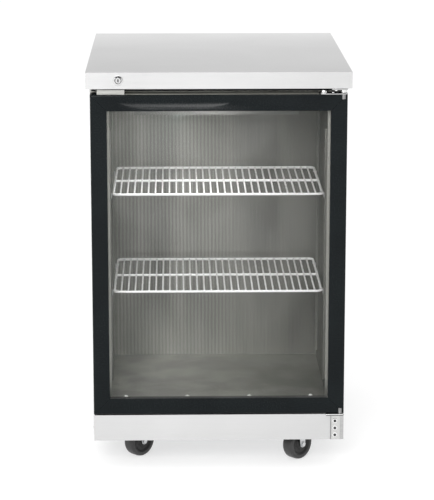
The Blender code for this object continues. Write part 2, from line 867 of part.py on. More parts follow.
def make_brake(name, ear, inner, pivot):
    """A lever between the fork's ears: a pad outside, and a shoe that swings to the tread."""
    half = inner - 0.0006
    x, z = ear
    outline = [
        (x - 0.006, z + 0.001),
        (x - 0.002, z - 0.0035),
        (x, z - 0.0060),
        (x + 0.0025, z - 0.0060),
        (x + 0.004, z - 0.001),
        (x + 0.019, z + 0.001),
        (x + 0.020, z + 0.003),
        (x + 0.018, z + 0.0045),
        (x - 0.005, z + 0.0040),
    ]
    piece(
        f"brake_lever_{name}",
        "black_plastic",
        prism(outline, -half, half, "Y"),
        origin=(x, 0.0, z),
        parent=pivot,
    )


def make_casters():
    """The front wheels stand parallel, one trailing to the right and the other to the left."""
    turned_round = FRONT_YAW + math.pi
    make_caster("front", "left", -CASTER_X, CASTER_FRONT, FRONT_YAW, True)
    make_caster("front", "right", CASTER_X, CASTER_FRONT, turned_round, True)
    make_caster("rear", "left", -CASTER_X, CASTER_REAR, -math.pi / 2, False)
    make_caster("rear", "right", CASTER_X, CASTER_REAR, -math.pi / 2, False)


def main():
    for found in list(bpy.data.objects):
        bpy.data.objects.remove(found, do_unlink=True)
    make_worktop()
    make_shell()
    make_liner()
    make_standards()
    make_evaporator()
    make_controls()
    make_machine()
    make_shelves()
    make_door()
    make_lock()
    make_casters()


main()
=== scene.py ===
import json
import math

import bmesh
import bpy
from mathutils import Matrix, Vector


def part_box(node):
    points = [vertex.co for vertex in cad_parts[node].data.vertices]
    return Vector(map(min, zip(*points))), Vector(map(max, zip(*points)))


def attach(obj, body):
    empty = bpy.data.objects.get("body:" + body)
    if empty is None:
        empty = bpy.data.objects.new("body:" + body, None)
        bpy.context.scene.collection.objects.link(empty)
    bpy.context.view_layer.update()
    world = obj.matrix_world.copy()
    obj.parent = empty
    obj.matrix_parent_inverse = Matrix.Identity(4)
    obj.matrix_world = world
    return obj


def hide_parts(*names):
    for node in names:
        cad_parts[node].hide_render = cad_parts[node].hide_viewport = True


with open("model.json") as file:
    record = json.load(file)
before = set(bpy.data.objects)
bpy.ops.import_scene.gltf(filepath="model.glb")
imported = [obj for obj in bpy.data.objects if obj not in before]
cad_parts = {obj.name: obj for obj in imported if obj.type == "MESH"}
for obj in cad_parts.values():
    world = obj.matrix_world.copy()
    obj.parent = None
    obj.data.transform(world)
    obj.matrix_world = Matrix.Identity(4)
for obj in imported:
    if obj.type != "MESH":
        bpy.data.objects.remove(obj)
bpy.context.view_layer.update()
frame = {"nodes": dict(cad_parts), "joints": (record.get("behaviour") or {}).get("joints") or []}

NODES = frame["nodes"]
JOINTS = {joint["name"]: joint for joint in frame["joints"]}
CASTERS = ("front_left", "front_right", "rear_left", "rear_right")


# ---------------------------------------------------------------- materials


class Look:
    """A Principled material, with short ways of adding the nodes that drive it."""

    def __init__(self, name, colour=(0.5, 0.5, 0.5), **sockets):
        self.material = bpy.data.materials.new(name)
        self.material.use_nodes = True
        self.tree = self.material.node_tree
        self.shader = self.tree.nodes["Principled BSDF"]
        self.shader.inputs["Base Color"].default_value = (*colour, 1.0)
        for socket, value in sockets.items():
            self.shader.inputs[socket.replace("_", " ")].default_value = value
        self.place = self.tree.nodes.new("ShaderNodeTexCoord").outputs["Object"]

    def add(self, kind, inputs=None, **settings):
        node = self.tree.nodes.new(kind)
        for key, value in settings.items():
            setattr(node, key, value)
        for key, value in (inputs or {}).items():
            if isinstance(value, bpy.types.NodeSocket):
                self.tree.links.new(value, node.inputs[key])
            else:
                node.inputs[key].default_value = value
        return node

    def noise(self, scale, stretch=(1, 1, 1), detail=3.0, rough=0.5, distortion=0.0, shift=0.0):
        mapping = self.add(
            "ShaderNodeMapping",
            {"Vector": self.place, "Scale": stretch, "Location": (shift, shift, shift)},
        )
        values = {
            "Vector": mapping.outputs[0],
            "Scale": scale,
            "Detail": detail,
            "Roughness": rough,
            "Distortion": distortion,
        }
        return self.add("ShaderNodeTexNoise", values).outputs["Fac"]

    def ramp(self, value, low, high, start=0.3, end=0.7):
        """A colour or grey that runs from low to high as the value goes from start to end."""
        node = self.add("ShaderNodeValToRGB", {"Fac": value})
        for element, place, colour in zip(node.color_ramp.elements, (start, end), (low, high)):
            element.position = place
            element.color = (*colour, 1.0) if hasattr(colour, "__len__") else (colour,) * 3 + (1.0,)
        return node.outputs["Color"]

    def mix(self, factor, first, second, blend="MIX"):
        node = self.tree.nodes.new("ShaderNodeMix")
        node.data_type = "RGBA"
        node.blend_type = blend
        for index, value in ((0, factor), (6, first), (7, second)):
            if isinstance(value, bpy.types.NodeSocket):
                self.tree.links.new(value, node.inputs[index])
            else:
                node.inputs[index].default_value = (*value, 1.0) if index else value
        return node.outputs[2]

    def drive(self, socket, source):
        self.tree.links.new(source, self.shader.inputs[socket])

    def bump(self, height, strength, distance):
        values = {"Height": height, "Strength": strength, "Distance": distance}
        self.drive("Normal", self.add("ShaderNodeBump", values).outputs[0])


def brushed(name, light, dark, grain, roughness, bump=0.06):
    """Brushed sheet: fine scratches along the grain axis, cloudy handling marks over them."""
    along = {"X": (0.9, 60, 60), "Y": (60, 0.9, 60), "Z": (60, 60, 0.9)}[grain]
    look = Look(name, Metallic=1.0)
    scratches = look.noise(14, along, 4, 0.65)
    cloud = look.noise(3.0, (1, 1, 1), 3, 0.5, 0.4, 3.7)
    tone = look.ramp(scratches, dark, light, 0.30, 0.70)
    cloudy = look.ramp(cloud, (0.93, 0.93, 0.93), (1, 1, 1), 0.35, 0.65)
    look.drive("Base Color", look.mix(1.0, tone, cloudy, "MULTIPLY"))
    low, high = roughness
    look.drive("Roughness", look.ramp(scratches, low, high, 0.25, 0.75))
    look.bump(scratches, bump, 0.0006)
    return look.material


def liner_steel(name, line_depth, painted_light_gain=1.0):
    """Brushed sheet with an upright grain, fine upright lines and broad soft streaks. The lines are a
    painted reflection of the shelf wires, over a real bump.

    The painted lines fade out, and a painted shade darkens the tone, towards the hinge side.
    """
    look = Look(name, Metallic=0.72)
    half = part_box("liner_back")[1].x
    across = look.add("ShaderNodeSeparateXYZ", {"Vector": look.place}).outputs["X"]
    limits = {"Value": across, "From Min": -half, "From Max": half}
    across = look.add("ShaderNodeMapRange", limits).outputs[0]
    scratches = look.noise(9, (60, 60, 0.8), 3, 0.6)
    streaks = look.noise(13, (1, 1, 0.10), 2, 0.5, 0.3, 2.4)
    cloud = look.noise(3.4, (1.3, 1.3, 0.9), 2, 0.5, 0.8, 1.3)
    # The wave bands are a painted reflection of the shelf wires in the colour; the bump made from them
    # below is real relief.
    wave = {"Vector": look.place, "Scale": 34.9, "Distortion": 0.9, "Detail": 2.0}
    lines = look.add("ShaderNodeTexWave", wave, wave_type="BANDS", bands_direction="X")
    # painted_light_gain scales the whole tone: painted light for a brighter copy of the same steel.
    dark, light = (tuple(painted_light_gain * value for value in colour)
                   for colour in ((0.38, 0.38, 0.358), (0.46, 0.46, 0.433)))
    tone = look.ramp(scratches, dark, light, 0.30, 0.70)
    painted_line_dark = 1.0 - line_depth
    painted_reflection_lines = look.ramp(lines.outputs["Fac"], (painted_line_dark, painted_line_dark, painted_line_dark), (1.0, 1.0, 1.0), 0.15, 0.75)
    # The painted reflection lines fade out towards the hinge side.
    painted_reflection_lines = look.mix(look.ramp(across, 0.0, 0.85, 0.50, 0.64), painted_reflection_lines, (1.0, 1.0, 1.0))
    # Painted shade: the tone darkens towards the hinge side, across the liner.
    painted_shade_falloff = look.ramp(across, (1.0, 1.0, 1.0), (0.58, 0.58, 0.57), 0.20, 0.95)
    streaked = look.ramp(streaks, (0.78, 0.78, 0.78), (1.0, 1.0, 0.99), 0.36, 0.62)
    cloudy = look.ramp(cloud, (0.76, 0.76, 0.75), (1.0, 1.0, 1.0), 0.30, 0.58)
    first = look.mix(1.0, tone, painted_reflection_lines, "MULTIPLY")
    second = look.mix(1.0, first, streaked, "MULTIPLY")
    third = look.mix(1.0, second, cloudy, "MULTIPLY")
    look.drive("Base Color", look.mix(1.0, third, painted_shade_falloff, "MULTIPLY"))
    look.drive("Roughness", look.ramp(scratches, 0.34, 0.48, 0.25, 0.75))
    look.bump(lines.outputs["Fac"], 0.3 * line_depth, 0.0008)
    return look.material


def coated(name, light, dark, roughness, grain=220, bump=0.05, **sockets):
    """Paint, moulded plastic or rubber: a fine grain, and wear clouds in colour and gloss."""
    look = Look(name, **sockets)
    fine = look.noise(grain, (1, 1, 1), 3, 0.6)
    cloud = look.noise(9, (1, 1, 1), 3, 0.55, 0.2, 5.1)
    look.drive("Base Color", look.ramp(cloud, dark, light, 0.35, 0.68))
    low, high = roughness
    look.drive("Roughness", look.ramp(fine, low, high, 0.30, 0.70))
    look.bump(fine, bump, 0.0004)
    return look.material


def clear_glass():
    look = Look("clear_glass", (0.020, 0.026, 0.024), Alpha=0.045, IOR=1.5)
    wipe = look.noise(6, (1, 1, 0.5), 3, 0.55, 0.8)
    look.drive("Roughness", look.ramp(wipe, 0.015, 0.05, 0.35, 0.75))
    return look.material


def galvanised():
    look = Look("galvanised", Metallic=1.0)
    cells = look.add("ShaderNodeTexVoronoi", {"Vector": look.place, "Scale": 95.0})
    spangle = look.ramp(cells.outputs["Color"], (0.53, 0.54, 0.55), (0.60, 0.61, 0.62), 0.2, 0.8)
    look.drive("Base Color", spangle)
    look.drive("Roughness", look.ramp(cells.outputs["Color"], 0.40, 0.50, 0.2, 0.8))
    look.bump(look.noise(160), 0.04, 0.0005)
    return look.material


def foam():
    look = Look("foam")
    cells = look.add("ShaderNodeTexVoronoi", {"Vector": look.place, "Scale": 420.0})
    look.drive("Base Color", look.ramp(look.noise(14), (0.62, 0.52, 0.30), (0.78, 0.70, 0.46)))
    look.drive("Roughness", look.ramp(look.noise(60), 0.82, 0.95))
    look.bump(cells.outputs["Distance"], 0.4, 0.001)
    return look.material


STEEL_X = brushed("worktop_steel", 0.660, 0.642, "X", (0.27, 0.31), 0.02)
STEEL_Z = brushed("shell_steel", (0.76, 0.76, 0.75), (0.64, 0.64, 0.63), "Z", (0.26, 0.40))
# A darker, olive copy of the shell steel for the collar in the gap under the worktop: painted shade.
SHADED_COLLAR_STEEL = brushed("collar_steel_painted_shade", (0.62, 0.62, 0.57), (0.52, 0.52, 0.48), "X", (0.36, 0.50))
STRIKE = brushed("strike_steel", (0.44, 0.44, 0.42), (0.35, 0.35, 0.33), "X", (0.34, 0.46))
HINGE = brushed("hinge_plate", (0.56, 0.56, 0.56), (0.44, 0.44, 0.44), "X", (0.10, 0.20), 0.03)
LOCK = brushed("lock_face", (0.72, 0.72, 0.72), (0.62, 0.62, 0.62), "X", (0.16, 0.28), 0.03)
BUSH = brushed("bush_steel", (0.34, 0.34, 0.34), (0.24, 0.24, 0.24), "Z", (0.20, 0.34), 0.03)
BRACKET = brushed("bracket_steel", (0.66, 0.66, 0.65), (0.58, 0.58, 0.57), "Z", (0.30, 0.42), 0.04)
KICK = brushed("kick_steel", 0.643, 0.623, "X", (0.38, 0.42), 0.03)
LINER = liner_steel("liner_steel", 0.21)
# The liner floor's copy of the liner steel is 1.3 times brighter than the walls': painted light on the
# floor.
LINER_FLOOR = liner_steel("liner_floor_steel", 0.02, 1.3)
FRAME_BLACK = coated(
    "door_frame_black", (0.0042, 0.0066, 0.0074), (0.0026, 0.0042, 0.0050), (0.20, 0.32), 320, 0.03,
    Specular_IOR_Level=0.13,
)
GLASS = clear_glass()
SPACER = coated("spacer_bar", (0.060, 0.060, 0.060), (0.038, 0.038, 0.038), (0.45, 0.60), 200)
GASKET = coated("gasket_rubber", (0.030, 0.030, 0.031), (0.018, 0.018, 0.019), (0.55, 0.75), 300, 0.10)
BRIGHT = brushed("bright_plate", (0.90, 0.90, 0.89), (0.78, 0.78, 0.78), "X", (0.14, 0.26), 0.03)
ZINC = brushed("zinc_plate", (0.70, 0.71, 0.72), (0.56, 0.57, 0.58), "Z", (0.26, 0.42), 0.05)
WIRE = coated("white_coated_wire", (0.93, 0.93, 0.925), (0.88, 0.88, 0.875), (0.22, 0.34), 260, 0.04)
FOAM = foam()
GALVANISED = galvanised()
WHITE_PLASTIC = coated(
    "white_plastic", (0.84, 0.84, 0.82), (0.78, 0.78, 0.76), (0.36, 0.50), 340, 0.06
)
GREY_PLASTIC = coated("grey_plastic", (0.25, 0.25, 0.24), (0.21, 0.21, 0.20), (0.40, 0.52), 300, 0.05)
LENS = coated(
    "light_lens", (0.92, 0.92, 0.90), (0.86, 0.86, 0.84), (0.30, 0.42), 200, 0.02,
    Subsurface_Weight=0.3, Subsurface_Scale=0.01,
)
FINS = brushed("coil_aluminium", (0.80, 0.81, 0.82), (0.66, 0.67, 0.68), "Z", (0.28, 0.46))
BLACK_PLASTIC = coated(
    "black_plastic", (0.022, 0.022, 0.023), (0.013, 0.013, 0.014), (0.38, 0.55), 420, 0.12
)
MACHINE_PAINT = coated(
    "black_machine_paint", (0.020, 0.020, 0.022), (0.011, 0.011, 0.012), (0.28, 0.46), 140, 0.10
)
TYRE = coated("wheel_rubber", (0.038, 0.038, 0.038), (0.024, 0.024, 0.024), (0.34, 0.48), 380, 0.10)
HUB = coated("wheel_core", (0.007, 0.007, 0.007), (0.004, 0.004, 0.004), (0.40, 0.55), 300, 0.08)
# Olive grey for a strip on the door's top: painted reflection of the collar in the black door top.
PAINTED_REFLECTION_GREY = coated("door_painted_reflection_grey", (0.24, 0.24, 0.21), (0.18, 0.18, 0.16), (0.50, 0.62), 240, 0.05)
COPPER = brushed("copper_tube", (0.80, 0.46, 0.30), (0.62, 0.33, 0.20), "Z", (0.24, 0.42), 0.04)


# ------------------------------------------------------------------- shapes


def block(low, high):
    shape = bmesh.new()
    bmesh.ops.create_cube(shape, size=1.0)
    low, high = Vector(low), Vector(high)
    matrix = Matrix.LocRotScale((low + high) / 2, None, high - low)
    bmesh.ops.transform(shape, matrix=matrix, verts=shape.verts)
    return shape


def arc(centre, radius, start, end, steps):
    angles = [math.radians(start + (end - start) * i / steps) for i in range(steps + 1)]
    return [(centre[0] + radius * math.cos(a), centre[1] + radius * math.sin(a)) for a in angles]


def prism(outline, low, high, axis):
    """An outline across the axis, its two coordinates in X, Y, Z order, extruded along it."""
    index = "XYZ".index(axis)
    shape = bmesh.new()
    loops = []
    for level in (low, high):
        places = []
        for pair in outline:
            place = list(pair)
            place.insert(index, level)
            places.append(shape.verts.new(place))
        loops.append(places)
    shape.faces.new(loops[0])
    shape.faces.new(loops[1])
    for i in range(len(outline)):
        j = (i + 1) % len(outline)
        shape.faces.new((loops[0][i], loops[0][j], loops[1][j], loops[1][i]))
    bmesh.ops.recalc_face_normals(shape, faces=shape.faces)
    return shape


def rounded(centre, size, radius, steps=5):
    """A rectangle's outline with round corners."""
    points = []
    for quarter in range(4):
        x = (size[0] / 2 - radius) * (1 if quarter in (0, 3) else -1)
        y = (size[1] / 2 - radius) * (1 if quarter in (0, 1) else -1)
        corner = (centre[0] + x, centre[1] + y)
        points += arc(corner, radius, 90 * quarter, 90 * quarter + 90, steps)
    return points


def turned(profile, axis, centre=(0, 0, 0), sides=40):
    """A solid of revolution from (radius, height) points. A zero radius closes it at the axis."""
    index = "XYZ".index(axis)
    shape = bmesh.new()
    rings = []
    for radius, height in profile:
        count = 1 if radius < 1e-7 else sides
        ring = []
        for i in range(count):
            angle = 2 * math.pi * i / sides
            place = [radius * math.cos(angle), radius * math.sin(angle)]
            place.insert(index, height)
            ring.append(shape.verts.new(Vector(place) + Vector(centre)))
        rings.append(ring)
    open_ended = profile[0][0] < 1e-7 or profile[-1][0] < 1e-7
    pairs = list(zip(rings, rings[1:])) + ([] if open_ended else [(rings[-1], rings[0])])
    for first, second in pairs:
        for i in range(sides):
            j = (i + 1) % sides
            corners = [first[i % len(first)], first[j % len(first)]]
            corners += [second[j % len(second)], second[i % len(second)]]
            unique = list(dict.fromkeys(corners))
            if len(unique) > 2:
                shape.faces.new(unique)
    bmesh.ops.recalc_face_normals(shape, faces=shape.faces)
    return shape


def tube(points, radius, sides=12, closed=False):
    """A round rod along a path."""
    shape = bmesh.new()
    points = [Vector(p) for p in points]
    count = len(points)
    rings = []
    normal = None
    for i, point in enumerate(points):
        before = points[i - 1] if i or closed else point
        after = points[(i + 1) % count] if i < count - 1 or closed else point
        tangent = (after - before).normalized()
        if normal is None:
            normal = tangent.orthogonal().normalized()
        normal = (normal - tangent * normal.dot(tangent)).normalized()
        side = tangent.cross(normal)
        ring = []
        for k in range(sides):
            angle = 2 * math.pi * k / sides
            offset = normal * math.cos(angle) + side * math.sin(angle)
            ring.append(shape.verts.new(point + offset * radius))
        rings.append(ring)
    pairs = list(zip(rings, rings[1:])) + ([(rings[-1], rings[0])] if closed else [])
    for first, second in pairs:
        for k in range(sides):
            j = (k + 1) % sides
            shape.faces.new((first[k], first[j], second[j], second[k]))
    if not closed:
        shape.faces.new(rings[0])
        shape.faces.new(rings[-1])
    bmesh.ops.recalc_face_normals(shape, faces=shape.faces)
    return shape


def joined(shapes):
    whole = bmesh.new()
    for shape in shapes:
        mesh = bpy.data.meshes.new("part")
        shape.to_mesh(mesh)
        shape.free()
        whole.from_mesh(mesh)
        bpy.data.meshes.remove(mesh)
    return whole


def moved(shape, matrix):
    bmesh.ops.transform(shape, matrix=matrix, verts=shape.verts)
    return shape


def mesh_object(name, shape, finish, smooth_angle=35):
    mesh = bpy.data.meshes.new(name)
    shape.to_mesh(mesh)
    shape.free()
    mesh.shade_smooth()
    mesh.set_sharp_from_angle(angle=math.radians(smooth_angle))
    if finish:
        mesh.materials.append(finish)
    made = bpy.data.objects.new(name, mesh)
    bpy.context.scene.collection.objects.link(made)
    return made


def soften(obj, width, segments=3):
    """Rounds the sharp edges that a folded or moulded piece has."""
    modifier = obj.modifiers.new("edges", "BEVEL")
    modifier.width = width
    modifier.segments = segments
    modifier.limit_method = "ANGLE"
    modifier.angle_limit = math.radians(35)
    modifier.harden_normals = True
    return obj


def carve(obj, shapes, operation="DIFFERENCE"):
    """Cuts shapes from the piece or joins them to it, and keeps only the result."""
    tools = []
    for i, shape in enumerate(shapes):
        tool = mesh_object(f"{obj.name}_tool_{i}", shape, None)
        modifier = obj.modifiers.new(f"carve_{i}", "BOOLEAN")
        modifier.operation = operation
        modifier.solver = "EXACT"
        modifier.object = tool
        tools.append(tool)
    graph = bpy.context.evaluated_depsgraph_get()
    mesh = bpy.data.meshes.new_from_object(obj.evaluated_get(graph))
    obj.modifiers.clear()
    obj.data = mesh
    mesh.shade_smooth()
    mesh.set_sharp_from_angle(angle=math.radians(35))
    for tool in tools:
        bpy.data.objects.remove(tool, do_unlink=True)
    return obj


def piece(name, shape, body, finish, replaces=(), edges=0.0, cuts=(), smooth_angle=35):
    made = mesh_object(name, shape, finish, smooth_angle)
    if cuts:
        carve(made, cuts)
    if edges:
        soften(made, edges)
    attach(made, body)
    if replaces:
        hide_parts(*replaces)
    return made


def screw_shape(radius):
    """A pan head with a cross recess, its seat at the origin and its top along +Z."""
    profile = [(0, -0.001), (radius * 0.55, -0.001), (radius * 0.55, 0), (radius, 0)]
    profile += [(radius, radius * 0.22), (radius * 0.86, radius * 0.44)]
    profile += [(radius * 0.55, radius * 0.58), (0, radius * 0.62)]
    head = mesh_object("screw_shape", turned(profile, "Z", sides=24), None)
    arm, width, depth = radius * 0.55, radius * 0.11, radius * 0.30
    cross = [
        block((-arm, -width, depth), (arm, width, radius)),
        block((-width, -arm, depth), (width, arm, radius)),
    ]
    carve(head, cross)
    mesh = head.data
    bpy.data.objects.remove(head, do_unlink=True)
    return mesh


SCREW_MESHES = {}


def screw(name, place, direction, body, radius=0.0032, finish=None, spin=0.4):
    finish = finish or BRIGHT
    key = (radius, finish.name)
    if key not in SCREW_MESHES:
        mesh = screw_shape(radius)
        mesh.materials.clear()
        mesh.materials.append(finish)
        SCREW_MESHES[key] = mesh
    made = bpy.data.objects.new(name, SCREW_MESHES[key])
    bpy.context.scene.collection.objects.link(made)
    turn = Vector(direction).to_track_quat("Z", "Y").to_matrix().to_4x4()
    made.matrix_world = Matrix.Translation(place) @ turn @ Matrix.Rotation(spin, 4, "Z")
    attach(made, body)
    return made


# ------------------------------------------------------------------ cabinet


def finish_cad_nodes():
    """Materials and soft edges on the nodes whose own shape is right."""
    steel_edges = {
        "worktop": (STEEL_X, 0.0016),
        "side_panel_left": (STEEL_Z, 0.0006),
        "side_panel_right": (STEEL_Z, 0.0006),
        "front_collar": (SHADED_COLLAR_STEEL, 0.0008),
        "kick_panel": (KICK, 0.0010),
        "door_strike": (STRIKE, 0.0012),
        "lock_cam": (ZINC, 0.0004),
        "base_pan": (GALVANISED, 0.0005),
        "liner_back": (LINER, 0.0004),
        "liner_left": (LINER, 0.0004),
        "liner_right": (LINER, 0.0004),
        "liner_ceiling": (LINER, 0.0004),
        "liner_floor": (LINER_FLOOR, 0.0004),
        "glass_outer": (GLASS, 0.0005),
        "glass_inner": (GLASS, 0.0005),
        "glass_spacer": (SPACER, 0.0003),
        "insulation": (FOAM, 0.0),
        "evaporator_cover": (GREY_PLASTIC, 0.0005),
        "evaporator_coil": (FINS, 0.0002),
        "evaporator_motor": (MACHINE_PAINT, 0.0008),
        "condenser": (FINS, 0.0004),
        "condenser_motor": (MACHINE_PAINT, 0.0010),
        "light_bar": (GREY_PLASTIC, 0.0006),
        "light_switch": (BLACK_PLASTIC, 0.0005),
        "thermostat_knob": (BLACK_PLASTIC, 0.0006),
        "rear_grille": (GALVANISED, 0.0003),
    }
    for place in CASTERS:
        steel_edges[f"caster_plate_{place}"] = (ZINC, 0.0006)
    for place in CASTERS[:2]:
        steel_edges[f"brake_lever_{place}"] = (BLACK_PLASTIC, 0.0006)
    for name, (finish, width) in steel_edges.items():
        node = NODES[name]
        for slot in node.material_slots:
            slot.material = finish
        if width:
            soften(node, width)


def make_shelf(name):
    low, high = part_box(name)
    rod, wire, pitch = 0.0030, 0.0021, 0.0166
    corner = 0.012
    middle = ((low.x + high.x) / 2, (low.y + high.y) / 2)
    size = (high.x - low.x - 2 * rod, high.y - low.y - 2 * rod)
    height = low.z + rod
    loop = [(x, y, height) for x, y in rounded(middle, size, corner, 6)]
    shapes = [tube(loop, rod, 14, closed=True)]
    for y in (middle[1],):
        ends = [(low.x + rod, y, height), (high.x - rod, y, height)]
        shapes.append(tube(ends, rod, 14))
    wires = round(size[0] / pitch)
    step = size[0] / wires
    top = high.z - wire + 0.0004
    for i in range(1, wires):
        x = low.x + rod + i * step
        front, back = low.y + 0.0012, high.y - 0.0012
        path = [
            (x, front, height + 0.0004),
            (x, front + 0.0012, top - 0.0004),
            (x, front + 0.0034, top),
            (x, back - 0.0034, top),
            (x, back - 0.0012, top - 0.0004),
            (x, back, height + 0.0004),
        ]
        shapes.append(tube(path, wire, 10))
    piece(f"{name}_wires", joined(shapes), name, WIRE, [name])


def make_standards():
    """Slotted shelf standards, each with two hooked clips that carry the shelves."""
    for node in [n for n in NODES if n.startswith("standard_")]:
        low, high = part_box(node)
        sign = 1 if low.x > 0 else -1
        wall = high.x if sign > 0 else low.x
        depth = 0.0050
        face = wall - sign * depth
        middle = (low.y + high.y) / 2
        half, lip = 0.0070, 0.0012
        section = [
            (wall, middle - half),
            (face, middle - half),
            (face, middle + half),
            (wall, middle + half),
            (wall, middle + half - lip),
            (face + sign * lip, middle + half - lip),
            (face + sign * lip, middle - half + lip),
            (wall, middle - half + lip),
        ]
        slots = []
        z = low.z + 0.016
        while z < high.z - 0.012:
            slots.append(
                block((min(face, wall) - 0.003, middle - 0.003, z - 0.0045),
                      (max(face, wall) + 0.0001, middle + 0.003, z + 0.0045))
            )
            z += 0.0125 * 2
        cutter = joined(slots)
        piece(
            f"{node}_channel", prism(section, low.z, high.z, "Z"), "cabinet", LINER,
            [node], cuts=[cutter],
        )
        for shelf in ("shelf_upper", "shelf_lower"):
            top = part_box(shelf)[0].z - 0.0004
            tip = face - sign * 0.0098
            root = face + sign * 0.0020
            profile = [
                (root, top), (tip, top), (tip, top - 0.0016), (face - sign * 0.0030, top - 0.0030),
                (face - sign * 0.0016, top - 0.0120), (face, top - 0.0125), (root, top - 0.0040),
            ]
            name = f"clip_{node[9:]}_{shelf[6:]}"
            piece(
                name, prism([(x, z) for x, z in profile], middle - 0.0048, middle + 0.0048, "Y"),
                "cabinet", ZINC, edges=0.0004,
            )


def make_cabinet_screws():
    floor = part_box("liner_floor")[1].z
    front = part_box("liner_floor")[0].y
    for i, x in enumerate((-0.221, -0.074, 0.074, 0.221)):
        head = [(0, floor + 0.0001), (0.0060, floor + 0.0001), (0.0060, floor + 0.0012)]
        head += [(0.0056 * math.cos(a), floor + 0.0014 + 0.0048 * math.sin(a))
                 for a in [math.radians(15 * k) for k in range(6)]]
        head += [(0, floor + 0.0062)]
        piece(f"threshold_screw_cap_{i}", turned(head, "Z", (x, front + 0.014, 0), 32),
              "cabinet", WHITE_PLASTIC)
    low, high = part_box("rear_grille")
    flange = block((low.x, low.y, high.z + 0.0002), (high.x, high.y, high.z + 0.0064))
    piece("rear_flange", flange, "cabinet", GALVANISED, edges=0.0003)
    foam_low, foam_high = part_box("insulation")
    collar_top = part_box("front_collar")[1].z
    flange = block((foam_low.x, foam_low.y - 0.0013, collar_top + 0.0002),
                   (foam_high.x, foam_low.y - 0.0003, foam_high.z - 0.0002))
    piece("front_flange", flange, "cabinet", SHADED_COLLAR_STEEL, edges=0.0003)
    # A black strip on the top of the collar, under the worktop's front: painted shadow of the worktop's
    # overhang.
    collar_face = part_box("front_collar")[0].y
    painted_shadow_strip = block((foam_low.x + 0.002, collar_face - 0.0012, collar_top - 0.0125),
                 (foam_high.x - 0.002, collar_face - 0.0001, collar_top - 0.0002))
    piece("worktop_painted_shadow_strip", painted_shadow_strip, "cabinet", GASKET, edges=0.0004)
    places = [(x, z) for x in (low.x + 0.012, (low.x + high.x) / 2, high.x - 0.012)
              for z in (low.z + 0.012, (low.z + high.z) / 2, high.z - 0.012)]
    for i, (x, z) in enumerate(places):
        screw(f"grille_screw_{i}", (x, high.y, z), (0, 1, 0), "cabinet", 0.0035,
              ZINC, 0.2 + i)
    for side in ("left", "right"):
        low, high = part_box(f"side_panel_{side}")
        sign = -1 if side == "left" else 1
        x = low.x if sign < 0 else high.x
        for i, y in enumerate((low.y + 0.02, (low.y + high.y) / 2, high.y - 0.02)):
            screw(f"side_screw_{side}_{i}", (x, y, low.z + 0.012), (sign, 0, 0), "cabinet",
                  0.0032, spin=0.5 + i)


# --------------------------------------------------------------------- door


def frame_section(depth_low, depth_high):
    """The door extrusion across a member: (distance in from the door's edge, depth)."""
    front, back = depth_low, depth_high
    pocket_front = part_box("glass_outer")[0].y - 0.0003
    pocket_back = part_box("glass_inner")[1].y + 0.0009
    wall, inner, inner_back = 0.0262, 0.0380, 0.0305
    outline = arc((0.0030, front + 0.0030), 0.0030, 180, 270, 6)
    outline += arc((inner - 0.0006, front + 0.0006), 0.0006, 270, 360, 4)
    outline += [(inner - 0.0016, pocket_front), (wall, pocket_front), (wall, pocket_back)]
    outline += [(inner_back, pocket_back)]
    outline += arc((inner_back - 0.0015, back - 0.0015), 0.0015, 0, 90, 4)
    outline += arc((0.0015, back - 0.0015), 0.0015, 90, 180, 4)
    return outline


def mitred(section, low, high, side):
    """One frame member with mitred ends, on the door's rectangle between two corners."""
    joint = 0.0002
    shape = bmesh.new()
    ends = []
    for end in (0, 1):
        ring = []
        for across, depth in section:
            if side in ("top", "bottom"):
                x = low.x + across + joint if end == 0 else high.x - across - joint
                z = high.z - across if side == "top" else low.z + across
            else:
                z = low.z + across + joint if end == 0 else high.z - across - joint
                x = high.x - across if side == "right" else low.x + across
            ring.append(shape.verts.new((x, depth, z)))
        ends.append(ring)
    for i in range(len(section)):
        j = (i + 1) % len(section)
        shape.faces.new((ends[0][i], ends[0][j], ends[1][j], ends[1][i]))
    shape.faces.new(ends[0])
    shape.faces.new(ends[1])
    bmesh.ops.recalc_face_normals(shape, faces=shape.faces)
    return shape


def ring_on_door(section, low, high):
    """A closed ring round the door's rectangle, with the same section on all four sides."""
    shape = bmesh.new()
    corners = []
    for across, depth in section:
        x0, x1, z0, z1 = low.x + across, high.x - across, low.z + across, high.z - across
        places = ((x0, depth, z0), (x1, depth, z0), (x1, depth, z1), (x0, depth, z1))
        corners.append([shape.verts.new(p) for p in places])
    for i in range(len(section)):
        j = (i + 1) % len(section)
        for k in range(4):
            n = (k + 1) % 4
            shape.faces.new((corners[i][k], corners[i][n], corners[j][n], corners[j][k]))
    bmesh.ops.recalc_face_normals(shape, faces=shape.faces)
    return shape


def dish(centre, half_width, half_height, depth, lead):
    """A cutter for a shallow dish: an ellipsoid whose middle stands lead in front of the face."""
    rim = math.sqrt(1 - (lead / (lead + depth)) ** 2)
    radii = Vector((half_width / rim, lead + depth, half_height / rim))
    middle = Vector(centre) - Vector((0, lead, 0))
    shape = bmesh.new()
    bmesh.ops.create_uvsphere(shape, u_segments=128, v_segments=64, radius=1.0)
    return moved(shape, Matrix.LocRotScale(middle, None, radii))


